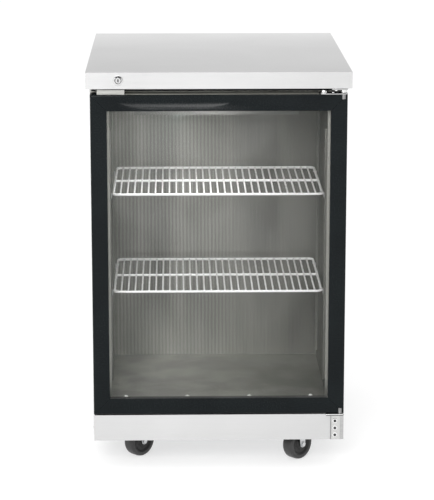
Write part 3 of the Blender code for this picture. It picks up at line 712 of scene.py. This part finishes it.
def make_door():
    low = Vector(map(min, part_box("door_stile_left")[0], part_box("door_rail_bottom")[0]))
    high = Vector(map(max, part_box("door_stile_right")[1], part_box("door_rail_top")[1]))
    section = frame_section(low.y, high.y)
    axis = JOINTS["door_hinge"]["pos_m"]

    def notch(bottom, top):
        outline = arc((axis[0], axis[1]), 0.0061, 0, 348.75, 31)
        return prism(outline, bottom, top, "Z")

    def notches():
        return [notch(high.z - 0.0125, high.z + 0.01), notch(low.z - 0.01, low.z + 0.0135)]

    pull = dish((-0.1025, low.y, high.z - 0.014), 0.135, 0.0185, 0.0040, 0.014)
    cuts = {
        "top": [notch(high.z - 0.0125, high.z + 0.01), pull],
        "bottom": [notch(low.z - 0.01, low.z + 0.0135)],
        "left": [],
        "right": notches(),
    }
    kinds = {"top": "rail", "bottom": "rail", "left": "stile", "right": "stile"}
    for side, kind in kinds.items():
        node = f"door_{kind}_{side}"
        made = piece(
            f"{node}_extrusion", mitred(section, low, high, side), "door", FRAME_BLACK,
            [node], cuts=cuts[side],
        )
        soften(made, 0.0003, 2)

    # A grey strip on the door's top stands in for its glossy black top reflecting the collar: painted
    # reflection.
    painted_reflection_low = (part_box("door_strike")[1].x + 0.001, low.y + 0.0025, high.z + 0.0001)
    painted_reflection_high = (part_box("hinge_strap")[0].x - 0.001, high.y - 0.0025, high.z + 0.0009)
    piece("door_top_painted_reflection", block(painted_reflection_low, painted_reflection_high), "door", PAINTED_REFLECTION_GREY, edges=0.0003)

    g_low, g_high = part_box("door_gasket")
    front, back = g_low.y, g_high.y
    middle = (front + back) / 2
    section = [(0.0000, front), (0.0200, front), (0.0195, front + 0.0012), (0.0180, middle)]
    section += arc((0.0135, back - 0.0022), 0.0022, 0, 90, 4)
    section += arc((0.0065, back - 0.0022), 0.0022, 90, 180, 4)
    section += [(0.0020, middle), (0.0005, front + 0.0012)]
    piece("door_gasket_bellows", ring_on_door(section, g_low, g_high), "door", GASKET,
          ["door_gasket"])


def make_hinges():
    axis = JOINTS["door_hinge"]["pos_m"]
    x, y = axis[0], axis[1]
    bore = 0.0034

    def eye(radius, left, back, tail_round):
        nose = arc((x, y), radius, -90, 60, 16)
        if tail_round:
            tail = arc((left, y), radius, 90, 270, 16)
            return [*nose, (x, back), (left, back), *tail]
        return [(left, y - radius), *nose, (x, back), (left, back)]

    def bar(radius, bottom, top):
        return prism(arc((x, y), radius, 0, 348.75, 31), bottom, top, "Z")

    low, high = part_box("hinge_strap")
    strap_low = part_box("door_rail_top")[1].z + 0.0003
    strap = piece(
        "hinge_strap_plate", prism(eye(0.0095, 0.240, -0.326, True), strap_low, high.z, "Z"),
        "door", HINGE, ["hinge_strap"],
        cuts=[bar(bore, low.z - 0.01, high.z + 0.01)], edges=0.0004,
    )
    knuckle = [(bore, low.z), (0.0049, low.z), (0.0055, low.z + 0.0006)]
    knuckle += [(0.0055, strap_low - 0.0001), (bore, strap_low - 0.0001)]
    piece("hinge_knuckle_top", turned(knuckle, "Z", (x, y, 0), 36), "door", BUSH)
    dome = [(0, high.z + 0.0078), (0.0036, high.z + 0.0076), (0.0056, high.z + 0.0064)]
    dome += [(0.0066, high.z + 0.0040), (0.0066, high.z + 0.0012), (0.0074, high.z + 0.0008)]
    dome += [(0.0074, high.z + 0.0001), (0, high.z + 0.0001)]
    socket = prism(arc((0.240, y), 0.0030, 0, 300, 5), high.z + 0.0040, high.z + 0.01, "Z")
    piece("strap_dome_screw", turned(dome[::-1], "Z", (0.240, y, 0), 36), "door", BRIGHT,
          cuts=[socket])
    screw("strap_screw", (0.262, y + 0.010, high.z), (0, 0, 1), "door", 0.0034)

    low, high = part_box("hinge_plate_top")
    plate_low = high.z - 0.003
    collar_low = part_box("hinge_strap")[1].z + 0.0006
    piece("hinge_plate_top_plate", prism(eye(0.010, 0.258, -0.304, False), plate_low, high.z, "Z"),
          "cabinet", HINGE, ["hinge_plate_top"], edges=0.0005)
    collar = [(0, collar_low), (0.0058, collar_low), (0.0065, collar_low + 0.0008)]
    collar += [(0.0065, plate_low - 0.0001), (0, plate_low - 0.0001)]
    piece("hinge_collar_top", turned(collar, "Z", (x, y, 0), 36), "cabinet", BRIGHT)
    pin = [(0, low.z), (0.0022, low.z), (0.0030, low.z + 0.0010)]
    pin += [(0.0030, collar_low - 0.0001), (0, collar_low - 0.0001)]
    piece("hinge_pin_top", turned(pin, "Z", (x, y, 0), 24), "cabinet", HINGE)
    head = [(0, plate_low - 0.0042), (0.0026, plate_low - 0.0040), (0.0040, plate_low - 0.0028)]
    head += [(0.0044, plate_low - 0.0010), (0.0044, plate_low - 0.0001), (0, plate_low - 0.0001)]
    piece("plate_dome_screw", turned(head, "Z", (0.268, y - 0.001, 0), 32), "cabinet", BRIGHT)
    screw("plate_screw_1", (0.272, y + 0.030, plate_low), (0, 0, -1), "cabinet",
          0.0036)

    low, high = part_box("hinge_bracket_bottom")
    kick_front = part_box("kick_panel")[0].y
    lug_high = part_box("door_rail_bottom")[0].z - 0.0007
    lug_low = lug_high - 0.0025
    leg_left, leg_right, leg_front = 0.264, 0.295, -0.3480
    lug = prism(eye(0.010, 0.252, -0.310, False), lug_low, lug_high, "Z")
    piece("hinge_bracket_lug", lug, "cabinet", BRIGHT,
          ["hinge_bracket_bottom"], edges=0.0005)
    # A black plate under the lug's nose: painted shadow of the lug on the bracket.
    lug_painted_shadow = prism(eye(0.0098, 0.253, -0.312, False), lug_low - 0.0016, lug_low - 0.0001, "Z")
    piece("hinge_bracket_lug_painted_shadow", lug_painted_shadow, "cabinet", BLACK_PLASTIC, edges=0.0002)
    leg_back, leg_top = kick_front - 0.0003, lug_low - 0.0018
    fold, rib_left = leg_left + 0.0016, leg_right - 0.0084
    # The dark edge strip is a painted dark reflection of the bent edge; the rib's darker finish is
    # painted shade of the bend, over a real step.
    strips = {
        "edge": (leg_left, fold - 0.0001, 0.0006, BUSH),
        "leg": (fold, rib_left - 0.0001, 0.0, BRACKET),
        "rib_painted_shade": (rib_left, leg_right, 0.0009, HINGE),
    }
    for name, (left, right, step, finish) in strips.items():
        strip = block((left, leg_front + step, low.z), (right, leg_back, leg_top))
        piece(f"hinge_bracket_{name}", strip, "cabinet", finish, edges=0.0003)
    pin = [(0, lug_high), (0.0030, lug_high + 0.0001), (0.0030, high.z - 0.0008)]
    pin += [(0.0022, high.z), (0, high.z)]
    piece("hinge_pin_bottom", turned(pin, "Z", (x, y, 0), 24), "cabinet", HINGE)
    for i, z in enumerate((0.1175, 0.1000, 0.0830)):
        washer = [(0.0030, leg_front - 0.0009), (0.0056, leg_front - 0.0007)]
        washer += [(0.0062, leg_front - 0.0001), (0.0030, leg_front - 0.0001)]
        piece(f"bracket_washer_{i}", turned(washer, "Y", (0.2745, 0, z), 32), "cabinet",
              BRIGHT)
        screw(f"bracket_screw_{i}", (0.2745, leg_front - 0.0009, z), (0, -1, 0), "cabinet",
              0.0034, BLACK_PLASTIC, 0.3 + i)
    low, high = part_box("hinge_bush")
    bush = [(bore, low.z), (0.0049, low.z), (0.0055, low.z + 0.0006), (0.0055, high.z - 0.0006)]
    bush += [(0.0049, high.z), (bore, high.z)]
    piece("hinge_bush_bottom", turned(bush, "Z", (x, y, 0), 36), "door", BUSH,
          ["hinge_bush"])


def make_lock():
    low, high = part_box("lock_bezel")
    x, z = (low.x + high.x) / 2, (low.z + high.z) / 2
    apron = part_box("worktop")[0].y
    bore, outer = 0.0073, (high.x - low.x) / 2
    profile = [(bore, low.y + 0.0012), (bore + 0.0008, low.y)]
    profile += [(outer - 0.0016, low.y), (outer - 0.0004, low.y + 0.0006), (outer, low.y + 0.0016)]
    profile += [(outer, apron - 0.0003), (0.009, apron - 0.0003), (0.009, high.y), (bore, high.y)]
    window = arc((x, z), 0.0108, 42, 138, 12) + arc((x, z), 0.0079, 138, 42, 12)
    piece("lock_bezel_ring", turned(profile, "Y", (x, 0, z), 64), "cabinet", LOCK,
          ["lock_bezel"],
          cuts=[prism(window, low.y - 0.001, low.y + 0.0008, "Y")])
    # Black fill at the back of the arc-shaped recess in the bezel: painted shade of the recess.
    piece("lock_recess_painted_shade", prism(window, low.y + 0.0007, low.y + 0.0012, "Y"), "cabinet",
          BLACK_PLASTIC)
    thread = [(0.0091, apron + 0.0018), (0.0128, apron + 0.0018), (0.0128, apron + 0.0050)]
    thread += [(0.0091, apron + 0.0050)]
    nut = turned(thread, "Y", (x, 0, z), 6)
    piece("lock_nut", nut, "cabinet", ZINC, edges=0.0005)

    low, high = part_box("lock_plug")
    radius, core = (high.x - low.x) / 2, 0.0067
    face = low.y
    profile = [(0, face + 0.0002), (core - 0.0008, face), (core, face + 0.0007)]
    profile += [(core, face + 0.0030), (radius, face + 0.0034), (radius, high.y), (0, high.y)]
    slot_half, wing = 0.0015, 0.0036
    keyhole = block((x - slot_half, face - 0.01, z - wing), (x + slot_half, face + 0.0075, z + wing))
    piece("lock_plug_core", turned(profile, "Y", (x, 0, z), 48), "lock", LOCK,
          ["lock_plug"], cuts=[keyhole])
    # A black plate just inside the keyhole: painted shade of the hole.
    keyhole_painted_shade = block((x - slot_half + 0.0001, face + 0.0008, z - wing + 0.0001),
                    (x + slot_half - 0.0001, face + 0.0020, z + wing - 0.0001))
    piece("lock_keyhole_painted_shade", keyhole_painted_shade, "lock", BLACK_PLASTIC)
    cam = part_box("lock_cam")
    screw("lock_cam_screw", (x, cam[1].y, z), (0, 1, 0), "lock", 0.0038, ZINC)


# ----------------------------------------------------------- cooling and rear


def fan_shape(radius, hub, depth, blades=5):
    """Curved blades on a domed hub, about Z, centred on the origin."""
    shapes = []
    profile = [(0, -depth / 2), (hub, -depth / 2), (hub, depth * 0.3), (hub * 0.8, depth / 2)]
    profile += [(0, depth / 2)]
    shapes.append(turned(profile, "Z", sides=32))
    across, around, thick = 8, 6, 0.0008
    for blade in range(blades):
        shape = bmesh.new()
        layers = []
        for side in (thick, -thick):
            grid = []
            for i in range(across + 1):
                t = i / across
                r = hub * 0.9 + (radius - hub * 0.9) * t
                spread = math.radians(26 + 14 * t)
                row = []
                for j in range(around + 1):
                    s = j / around - 0.5
                    angle = 2 * math.pi * blade / blades + s * spread * 1.6 - 0.25 * t
                    lift = -s * depth * 0.80 + 0.002 * math.cos(math.pi * s)
                    row.append(shape.verts.new(
                        (r * math.cos(angle), r * math.sin(angle), lift + side)))
                grid.append(row)
            layers.append(grid)
        top, bottom = layers
        for i in range(across):
            for j in range(around):
                shape.faces.new((top[i][j], top[i + 1][j], top[i + 1][j + 1], top[i][j + 1]))
                shape.faces.new(
                    (bottom[i][j], bottom[i][j + 1], bottom[i + 1][j + 1], bottom[i + 1][j]))
        rim = [(i, 0) for i in range(across)] + [(across, j) for j in range(around)]
        rim += [(i, around) for i in range(across, 0, -1)] + [(0, j) for j in range(around, 0, -1)]
        for k, (i, j) in enumerate(rim):
            m, n = rim[(k + 1) % len(rim)]
            shape.faces.new((top[i][j], bottom[i][j], bottom[m][n], top[m][n]))
        bmesh.ops.recalc_face_normals(shape, faces=shape.faces)
        shapes.append(shape)
    return joined(shapes)


def make_fans():
    low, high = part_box("evaporator_fan")
    middle = Vector(JOINTS["evaporator_fan_spin"]["pos_m"])
    middle.z = (low.z + high.z) / 2
    shape = moved(fan_shape(0.0415, 0.012, high.z - low.z), Matrix.Translation(middle))
    piece("evaporator_fan_rotor", shape, "evaporator_fan", BLACK_PLASTIC,
          ["evaporator_fan"])
    low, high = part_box("condenser_fan")
    middle = Vector(JOINTS["condenser_fan_spin"]["pos_m"])
    middle.y = (low.y + high.y) / 2
    turn = Matrix.Rotation(math.radians(90), 4, "X")
    shape = moved(fan_shape(0.084, 0.016, high.y - low.y), Matrix.Translation(middle) @ turn)
    piece("condenser_fan_rotor", shape, "condenser_fan", BLACK_PLASTIC,
          ["condenser_fan"])


def make_compressor():
    low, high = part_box("compressor")
    x, y = (low.x + high.x) / 2, (low.y + high.y) / 2
    height = high.z - low.z
    radius = 0.0775
    profile = [(0, low.z + 0.016), (radius * 0.86, low.z + 0.018), (radius * 0.98, low.z + 0.030)]
    profile += [(radius, low.z + 0.040), (radius, low.z + 0.094), (radius * 1.012, low.z + 0.095)]
    profile += [(radius * 1.012, low.z + 0.099), (radius, low.z + 0.100)]
    profile += [
        (radius * math.cos(a), low.z + 0.110 + (height - 0.111) * math.sin(a))
        for a in [math.radians(10 * i) for i in range(0, 9)]
    ]
    profile += [(0, high.z - 0.001)]
    piece("compressor_shell", turned(profile, "Z", (x, y, 0), 56), "cabinet", MACHINE_PAINT,
          ["compressor"])
    foot = prism(rounded((x, y), (high.x - low.x, 0.120), 0.012), low.z + 0.010, low.z + 0.014, "Z")
    piece("compressor_feet", foot, "cabinet", MACHINE_PAINT, edges=0.0008)
    for i, (dx, dy) in enumerate(((-1, -1), (1, -1), (1, 1), (-1, 1))):
        place = (x + dx * 0.078, y + dy * 0.048)
        profile = [(0, low.z + 0.0001), (0.009, low.z + 0.0001), (0.009, low.z + 0.004)]
        profile += [(0.0070, low.z + 0.006), (0.009, low.z + 0.0098), (0, low.z + 0.0098)]
        piece(f"compressor_mount_{i}", turned(profile, "Z", (*place, 0), 24), "cabinet", TYRE)
        screw(f"compressor_bolt_{i}", (*place, low.z + 0.014), (0, 0, 1), "cabinet",
              0.0045, ZINC)
    box_low = (x - 0.022, y - 0.0905, low.z + 0.050)
    terminal = block(box_low, (x + 0.022, y - 0.076, low.z + 0.092))
    piece("compressor_terminal_cover", terminal, "cabinet", BLACK_PLASTIC,
          edges=0.003)


def make_pipes():
    """Refrigerant lines between the compressor, the condenser and the wall."""
    low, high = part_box("compressor")
    c_low, c_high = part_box("condenser")
    x, y = (low.x + high.x) / 2, (low.y + high.y) / 2

    def bend(points, radius=0.0032, steps=6, fillet=0.016):
        path = [Vector(points[0])]
        for before, at, after in zip(points, points[1:], points[2:]):
            at = Vector(at)
            a = at + (Vector(before) - at).normalized() * fillet
            b = at + (Vector(after) - at).normalized() * fillet
            for i in range(steps + 1):
                t = i / steps
                path.append(a * (1 - t) ** 2 + at * 2 * t * (1 - t) + b * t ** 2)
        path.append(Vector(points[-1]))
        return tube(path, radius, 12)

    routes = {
        "discharge_line": [
            (x + 0.074, y + 0.020, low.z + 0.075), (x + 0.125, y + 0.020, low.z + 0.075),
            (x + 0.125, y + 0.020, c_high.z - 0.020), (x + 0.125, c_low.y + 0.018, c_high.z - 0.020),
            (c_low.x + 0.002, c_low.y + 0.018, c_high.z - 0.020),
        ],
        "liquid_line": [
            (c_low.x + 0.002, c_low.y + 0.018, c_low.z + 0.030),
            (c_low.x - 0.030, c_low.y + 0.018, c_low.z + 0.030),
            (c_low.x - 0.030, c_low.y + 0.018, c_high.z + 0.060),
            (c_low.x - 0.030, 0.160, c_high.z + 0.060), (c_low.x - 0.030, 0.141, c_high.z + 0.060),
        ],
        "suction_line": [
            (x - 0.020, y - 0.060, low.z + 0.150), (x - 0.020, y - 0.078, low.z + 0.150),
            (x - 0.020, y - 0.078, 0.520), (x - 0.020, 0.141, 0.520),
        ],
    }
    for name, points in routes.items():
        piece(name, bend(points), "cabinet", COPPER)


def make_condenser_shroud():
    low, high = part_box("condenser")
    centre = Vector(JOINTS["condenser_fan_spin"]["pos_m"])
    ring = [(0.0865, 0.2560), (0.0895, 0.2560), (0.0895, 0.2830), (0.0865, 0.2830)]
    shape = turned(ring, "Y", (centre.x, 0, centre.z), 64)
    piece("condenser_fan_ring", shape, "cabinet", MACHINE_PAINT)
    loops = []
    for i in range(10):
        z = low.z + 0.020 + i * 0.0245
        for x, turn in ((low.x, 1), (high.x, -1)):
            path = [(x - turn * 0.0085 * math.sin(math.radians(a)) + turn * 0.001, low.y + 0.019,
                     z + 0.0055 - 0.0055 * math.cos(math.radians(a))) for a in range(0, 181, 20)]
            if x > 0 and high.x - x < 1e-6:
                path = [(min(p[0], 0.2920), p[1], p[2]) for p in path]
            loops.append(tube(path, 0.0024, 10))
    piece("condenser_return_bends", joined(loops), "cabinet", COPPER)


def make_evaporator_trim():
    low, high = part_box("evaporator_cover")
    centre = Vector(JOINTS["evaporator_fan_spin"]["pos_m"])
    bars = []
    for radius in (0.014, 0.024, 0.034, 0.0440):
        loop = [(centre.x + p, centre.y + q, low.z + 0.0010)
                for p, q in arc((0, 0), radius, 0, 360 - 7.5, 47)]
        bars.append(tube(loop, 0.0009, 8, closed=True))
    for i in range(4):
        angle = math.radians(45 + 90 * i)
        ends = [(centre.x + r * math.cos(angle), centre.y + r * math.sin(angle), low.z + 0.0010)
                for r in (0.0, 0.0465)]
        bars.append(tube(ends, 0.0009, 8))
    piece("evaporator_fan_guard", joined(bars), "cabinet", WIRE)
    places = [(x, z) for x in (low.x + 0.009, high.x - 0.009)
              for z in ((low.z + high.z) / 2, high.z - 0.009)]
    for i, (x, z) in enumerate(places):
        screw(f"evaporator_cover_screw_{i}", (x, low.y, z), (0, -1, 0), "cabinet",
              0.0032, ZINC, 0.2 + i)
    face = low.y
    knob = JOINTS["thermostat_turn"]["pos_m"]
    knob_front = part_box("thermostat_knob")[0].y

    def radial(inner, outer, half, degrees, near, far):
        """A thin bar on the knob's dial, at an angle clockwise from the top."""
        bar = block((-half, near, inner), (half, far, outer))
        turn = Matrix.Rotation(math.radians(degrees), 4, "Y")
        return moved(bar, Matrix.Translation((knob[0], 0, knob[2])) @ turn)

    pointer = radial(0.0040, 0.0120, 0.0008, -135, knob_front - 0.0003, knob_front + 0.0004)
    piece("thermostat_pointer", pointer, "thermostat_knob", WHITE_PLASTIC,
          edges=0.0001)
    ticks = [radial(0.0150, 0.0185, 0.0004, angle, face - 0.0003, face - 0.0001)
             for angle in range(-135, 136, 27)]
    piece("thermostat_dial_ticks", joined(ticks), "cabinet", BLACK_PLASTIC)
    low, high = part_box("light_bar")
    shape = prism([(low.y + 0.0055, low.z + 0.0016), (low.y + 0.0075, low.z - 0.0004),
                   (low.y + 0.0170, low.z - 0.0016), (low.y + 0.0185, low.z + 0.0004)],
                  low.x + 0.010, high.x - 0.010, "X")
    piece("light_lens", shape, "cabinet", LENS, edges=0.0004)


# ------------------------------------------------------------------ casters


def make_caster(place):
    swivel = Vector(JOINTS[f"caster_swivel_{place}"]["pos_m"])
    spin = JOINTS[f"wheel_spin_{place}"]
    centre = Vector(spin["pos_m"])
    axis = Vector(spin["axis"])
    yaw = math.atan2(-axis.x, axis.y)
    place_at = Matrix.Translation((swivel.x, swivel.y, 0)) @ Matrix.Rotation(yaw, 4, "Z")
    trail = (centre - swivel).to_2d().length
    radius = centre.z
    half, bore = 0.0150, 0.0044

    tread = [(0.0285, -half + 0.0012), (radius - 0.0050, -half)]
    tread += [(radius - 0.0022, -half + 0.0010), (radius - 0.0007, -half + 0.0034)]
    tread += [(radius, -half + 0.0072), (radius, half - 0.0072)]
    tread += [(radius - 0.0007, half - 0.0034), (radius - 0.0022, half - 0.0010)]
    tread += [(radius - 0.0050, half), (0.0285, half - 0.0012)]
    at_wheel = (trail, 0, radius)
    body = f"caster_wheel_{place}"
    piece(f"tyre_{place}", moved(turned(tread, "Y", at_wheel, 72), place_at), body, TYRE,
          [body])
    core = [(bore, -half), (0.0105, -half), (0.0125, -half + 0.0010), (0.0150, -half + 0.0042)]
    core += [(0.0235, -half + 0.0048), (0.0262, -half + 0.0022), (0.0284, -half + 0.0016)]
    core += [(0.0284, half - 0.0016), (0.0262, half - 0.0022), (0.0235, half - 0.0048)]
    core += [(0.0150, half - 0.0042), (0.0125, half - 0.0010), (0.0105, half), (bore, half)]
    piece(f"wheel_core_{place}", moved(turned(core, "Y", at_wheel, 64), place_at), body, HUB)

    body = f"caster_fork_{place}"
    low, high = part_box(body)
    inner, leg = 0.0162, 0.0025
    crown_low, crown_high = 0.0790, high.z
    has_brake = place.startswith("front")
    ear = (trail + 0.034, 0.066)
    for name, side in (("left", 1), ("right", -1)):
        outline = [(-0.020, crown_low), (-0.012, 0.070), (0.0135, 0.052)]
        outline += arc((trail, radius), 0.0082, 180, 350, 16)
        if has_brake:
            outline += [(trail + 0.0105, 0.0540), (ear[0] - 0.006, 0.0585), *arc(ear, 0.006, -70, 90, 10)]
            outline += [(ear[0] - 0.012, 0.0745)]
        outline += [(0.036, crown_low)]
        y0, y1 = sorted((side * inner, side * (inner + leg)))
        shape = moved(prism(outline, y0, y1, "Y"), place_at)
        piece(f"fork_leg_{name}_{place}", shape, body, ZINC,
              [body] if side > 0 else (), edges=0.0007)
    crown = prism(rounded((0.007, 0), (0.058, 2 * (inner + leg)), 0.010), crown_low + 0.0001,
                  crown_high, "Z")
    hole = prism(arc((0, 0), 0.0058, 0, 345, 23), 0.07, 0.09, "Z")
    made = mesh_object(f"fork_crown_{place}", moved(crown, place_at), ZINC)
    carve(made, [moved(hole, place_at)])
    soften(made, 0.0007)
    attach(made, body)
    bolt = [(0, -inner - leg - 0.0032), (0.0060, -inner - leg - 0.0032)]
    bolt += [(0.0066, -inner - leg - 0.0026), (0.0066, -inner - leg - 0.0001)]
    bolt += [(0.0040, -inner - leg - 0.0001), (0.0040, inner + leg + 0.0001)]
    bolt += [(0.0066, inner + leg + 0.0001), (0.0066, inner + leg + 0.0026)]
    bolt += [(0.0060, inner + leg + 0.0032), (0, inner + leg + 0.0032)]
    piece(f"axle_bolt_{place}", moved(turned(bolt, "Y", at_wheel, 6), place_at), body, ZINC,
          edges=0.0004)

    low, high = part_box(f"caster_plate_{place}")
    middle = (low + high) / 2
    for i, (dx, dy) in enumerate(((-1, -1), (1, -1), (1, 1), (-1, 1))):
        spot = (middle.x + dx * 0.0235, middle.y + dy * 0.0235, high.z - 0.003)
        screw(f"caster_bolt_{place}_{i}", spot, (0, 0, -1), "cabinet", 0.0048,
              ZINC, 0.3 * i)


# ----------------------------------------------------------- camera and stage

CAMERA_X = -0.10
CAMERA_DISTANCE = 4.80
CAMERA_HEIGHT = 1.645
CAMERA_PITCH = 12.48
LENS_MM = 153.0
SHIFT_X = -0.004
SHIFT_Y = -0.040


def make_camera():
    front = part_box("worktop")[0].y
    data = bpy.data.cameras.new("camera")
    camera = bpy.data.objects.new("camera", data)
    bpy.context.scene.collection.objects.link(camera)
    data.sensor_width = 36.0
    data.lens = LENS_MM
    data.shift_x = SHIFT_X
    data.shift_y = SHIFT_Y
    data.clip_start, data.clip_end = 0.1, 100.0
    camera.location = (CAMERA_X, front - CAMERA_DISTANCE, CAMERA_HEIGHT)
    yaw = math.atan2(CAMERA_X, CAMERA_DISTANCE)
    camera.rotation_euler = (math.radians(90 - CAMERA_PITCH), 0, yaw)
    bpy.context.scene.camera = camera


def area_light(name, place, target, size, power, colour=(1, 1, 1)):
    data = bpy.data.lights.new(name, "AREA")
    data.shape = "RECTANGLE"
    data.size, data.size_y = size
    data.energy = power
    data.color = colour
    lamp = bpy.data.objects.new(name, data)
    lamp.visible_camera = False
    bpy.context.scene.collection.objects.link(lamp)
    lamp.location = place
    turn = (Vector(target) - Vector(place)).to_track_quat("-Z", "Y")
    lamp.rotation_euler = turn.to_euler()


def make_stage():
    mesh = bpy.data.meshes.new("floor")
    size = 40.0
    mesh.from_pydata(
        [(-size, -size, 0), (size, -size, 0), (size, size, 0), (-size, size, 0)], [], [(0, 1, 2, 3)]
    )
    floor = bpy.data.objects.new("floor", mesh)
    bpy.context.scene.collection.objects.link(floor)
    look = Look("floor_paper", Roughness=0.9, Specular_IOR_Level=0.1, Emission_Strength=0.58)
    look.shader.inputs["Emission Color"].default_value = (1.0, 1.0, 1.0, 1.0)
    tone = look.ramp(look.noise(0.8), (0.42, 0.42, 0.42), (0.44, 0.44, 0.44))
    look.drive("Base Color", tone)
    mesh.materials.append(look.material)

    world = bpy.data.worlds.new("studio")
    bpy.context.scene.world = world
    world.use_nodes = True
    tree = world.node_tree
    background = tree.nodes["Background"]
    direction = tree.nodes.new("ShaderNodeTexCoord").outputs["Generated"]
    split = tree.nodes.new("ShaderNodeSeparateXYZ")
    tree.links.new(direction, split.inputs[0])
    ramp = tree.nodes.new("ShaderNodeValToRGB")
    ramp.color_ramp.elements[0].color = (0.50, 0.50, 0.50, 1.0)
    ramp.color_ramp.elements[1].color = (1.0, 1.0, 1.0, 1.0)
    tree.links.new(split.outputs["Z"], ramp.inputs["Fac"])
    tree.links.new(ramp.outputs["Color"], background.inputs["Color"])
    background.inputs["Strength"].default_value = 1.25

    area_light("key", (-1.5, -1.9, 1.5), (0, -0.3, 0.6), (0.9, 1.4), 3)
    area_light("front", (-0.9, -4.6, 2.6), (0, 0, 0.5), (2.0, 1.6), 165)
    area_light("back", (0, 0.75, 0.99), (0, -0.2, 0.95), (0.9, 0.07), 0.13)
    area_light("cavity", (-0.05, -0.262, 0.8515), (-0.13, -0.22, 0.4), (0.30, 0.010), 0.95)
    bpy.context.scene.view_settings.view_transform = "Standard"


def main():
    make_camera()
    make_stage()
    finish_cad_nodes()
    for shelf in ("shelf_upper", "shelf_lower"):
        make_shelf(shelf)
    make_standards()
    make_cabinet_screws()
    make_door()
    make_hinges()
    make_lock()
    make_fans()
    make_compressor()
    make_pipes()
    make_condenser_shroud()
    make_evaporator_trim()
    for place in CASTERS:
        make_caster(place)


main()
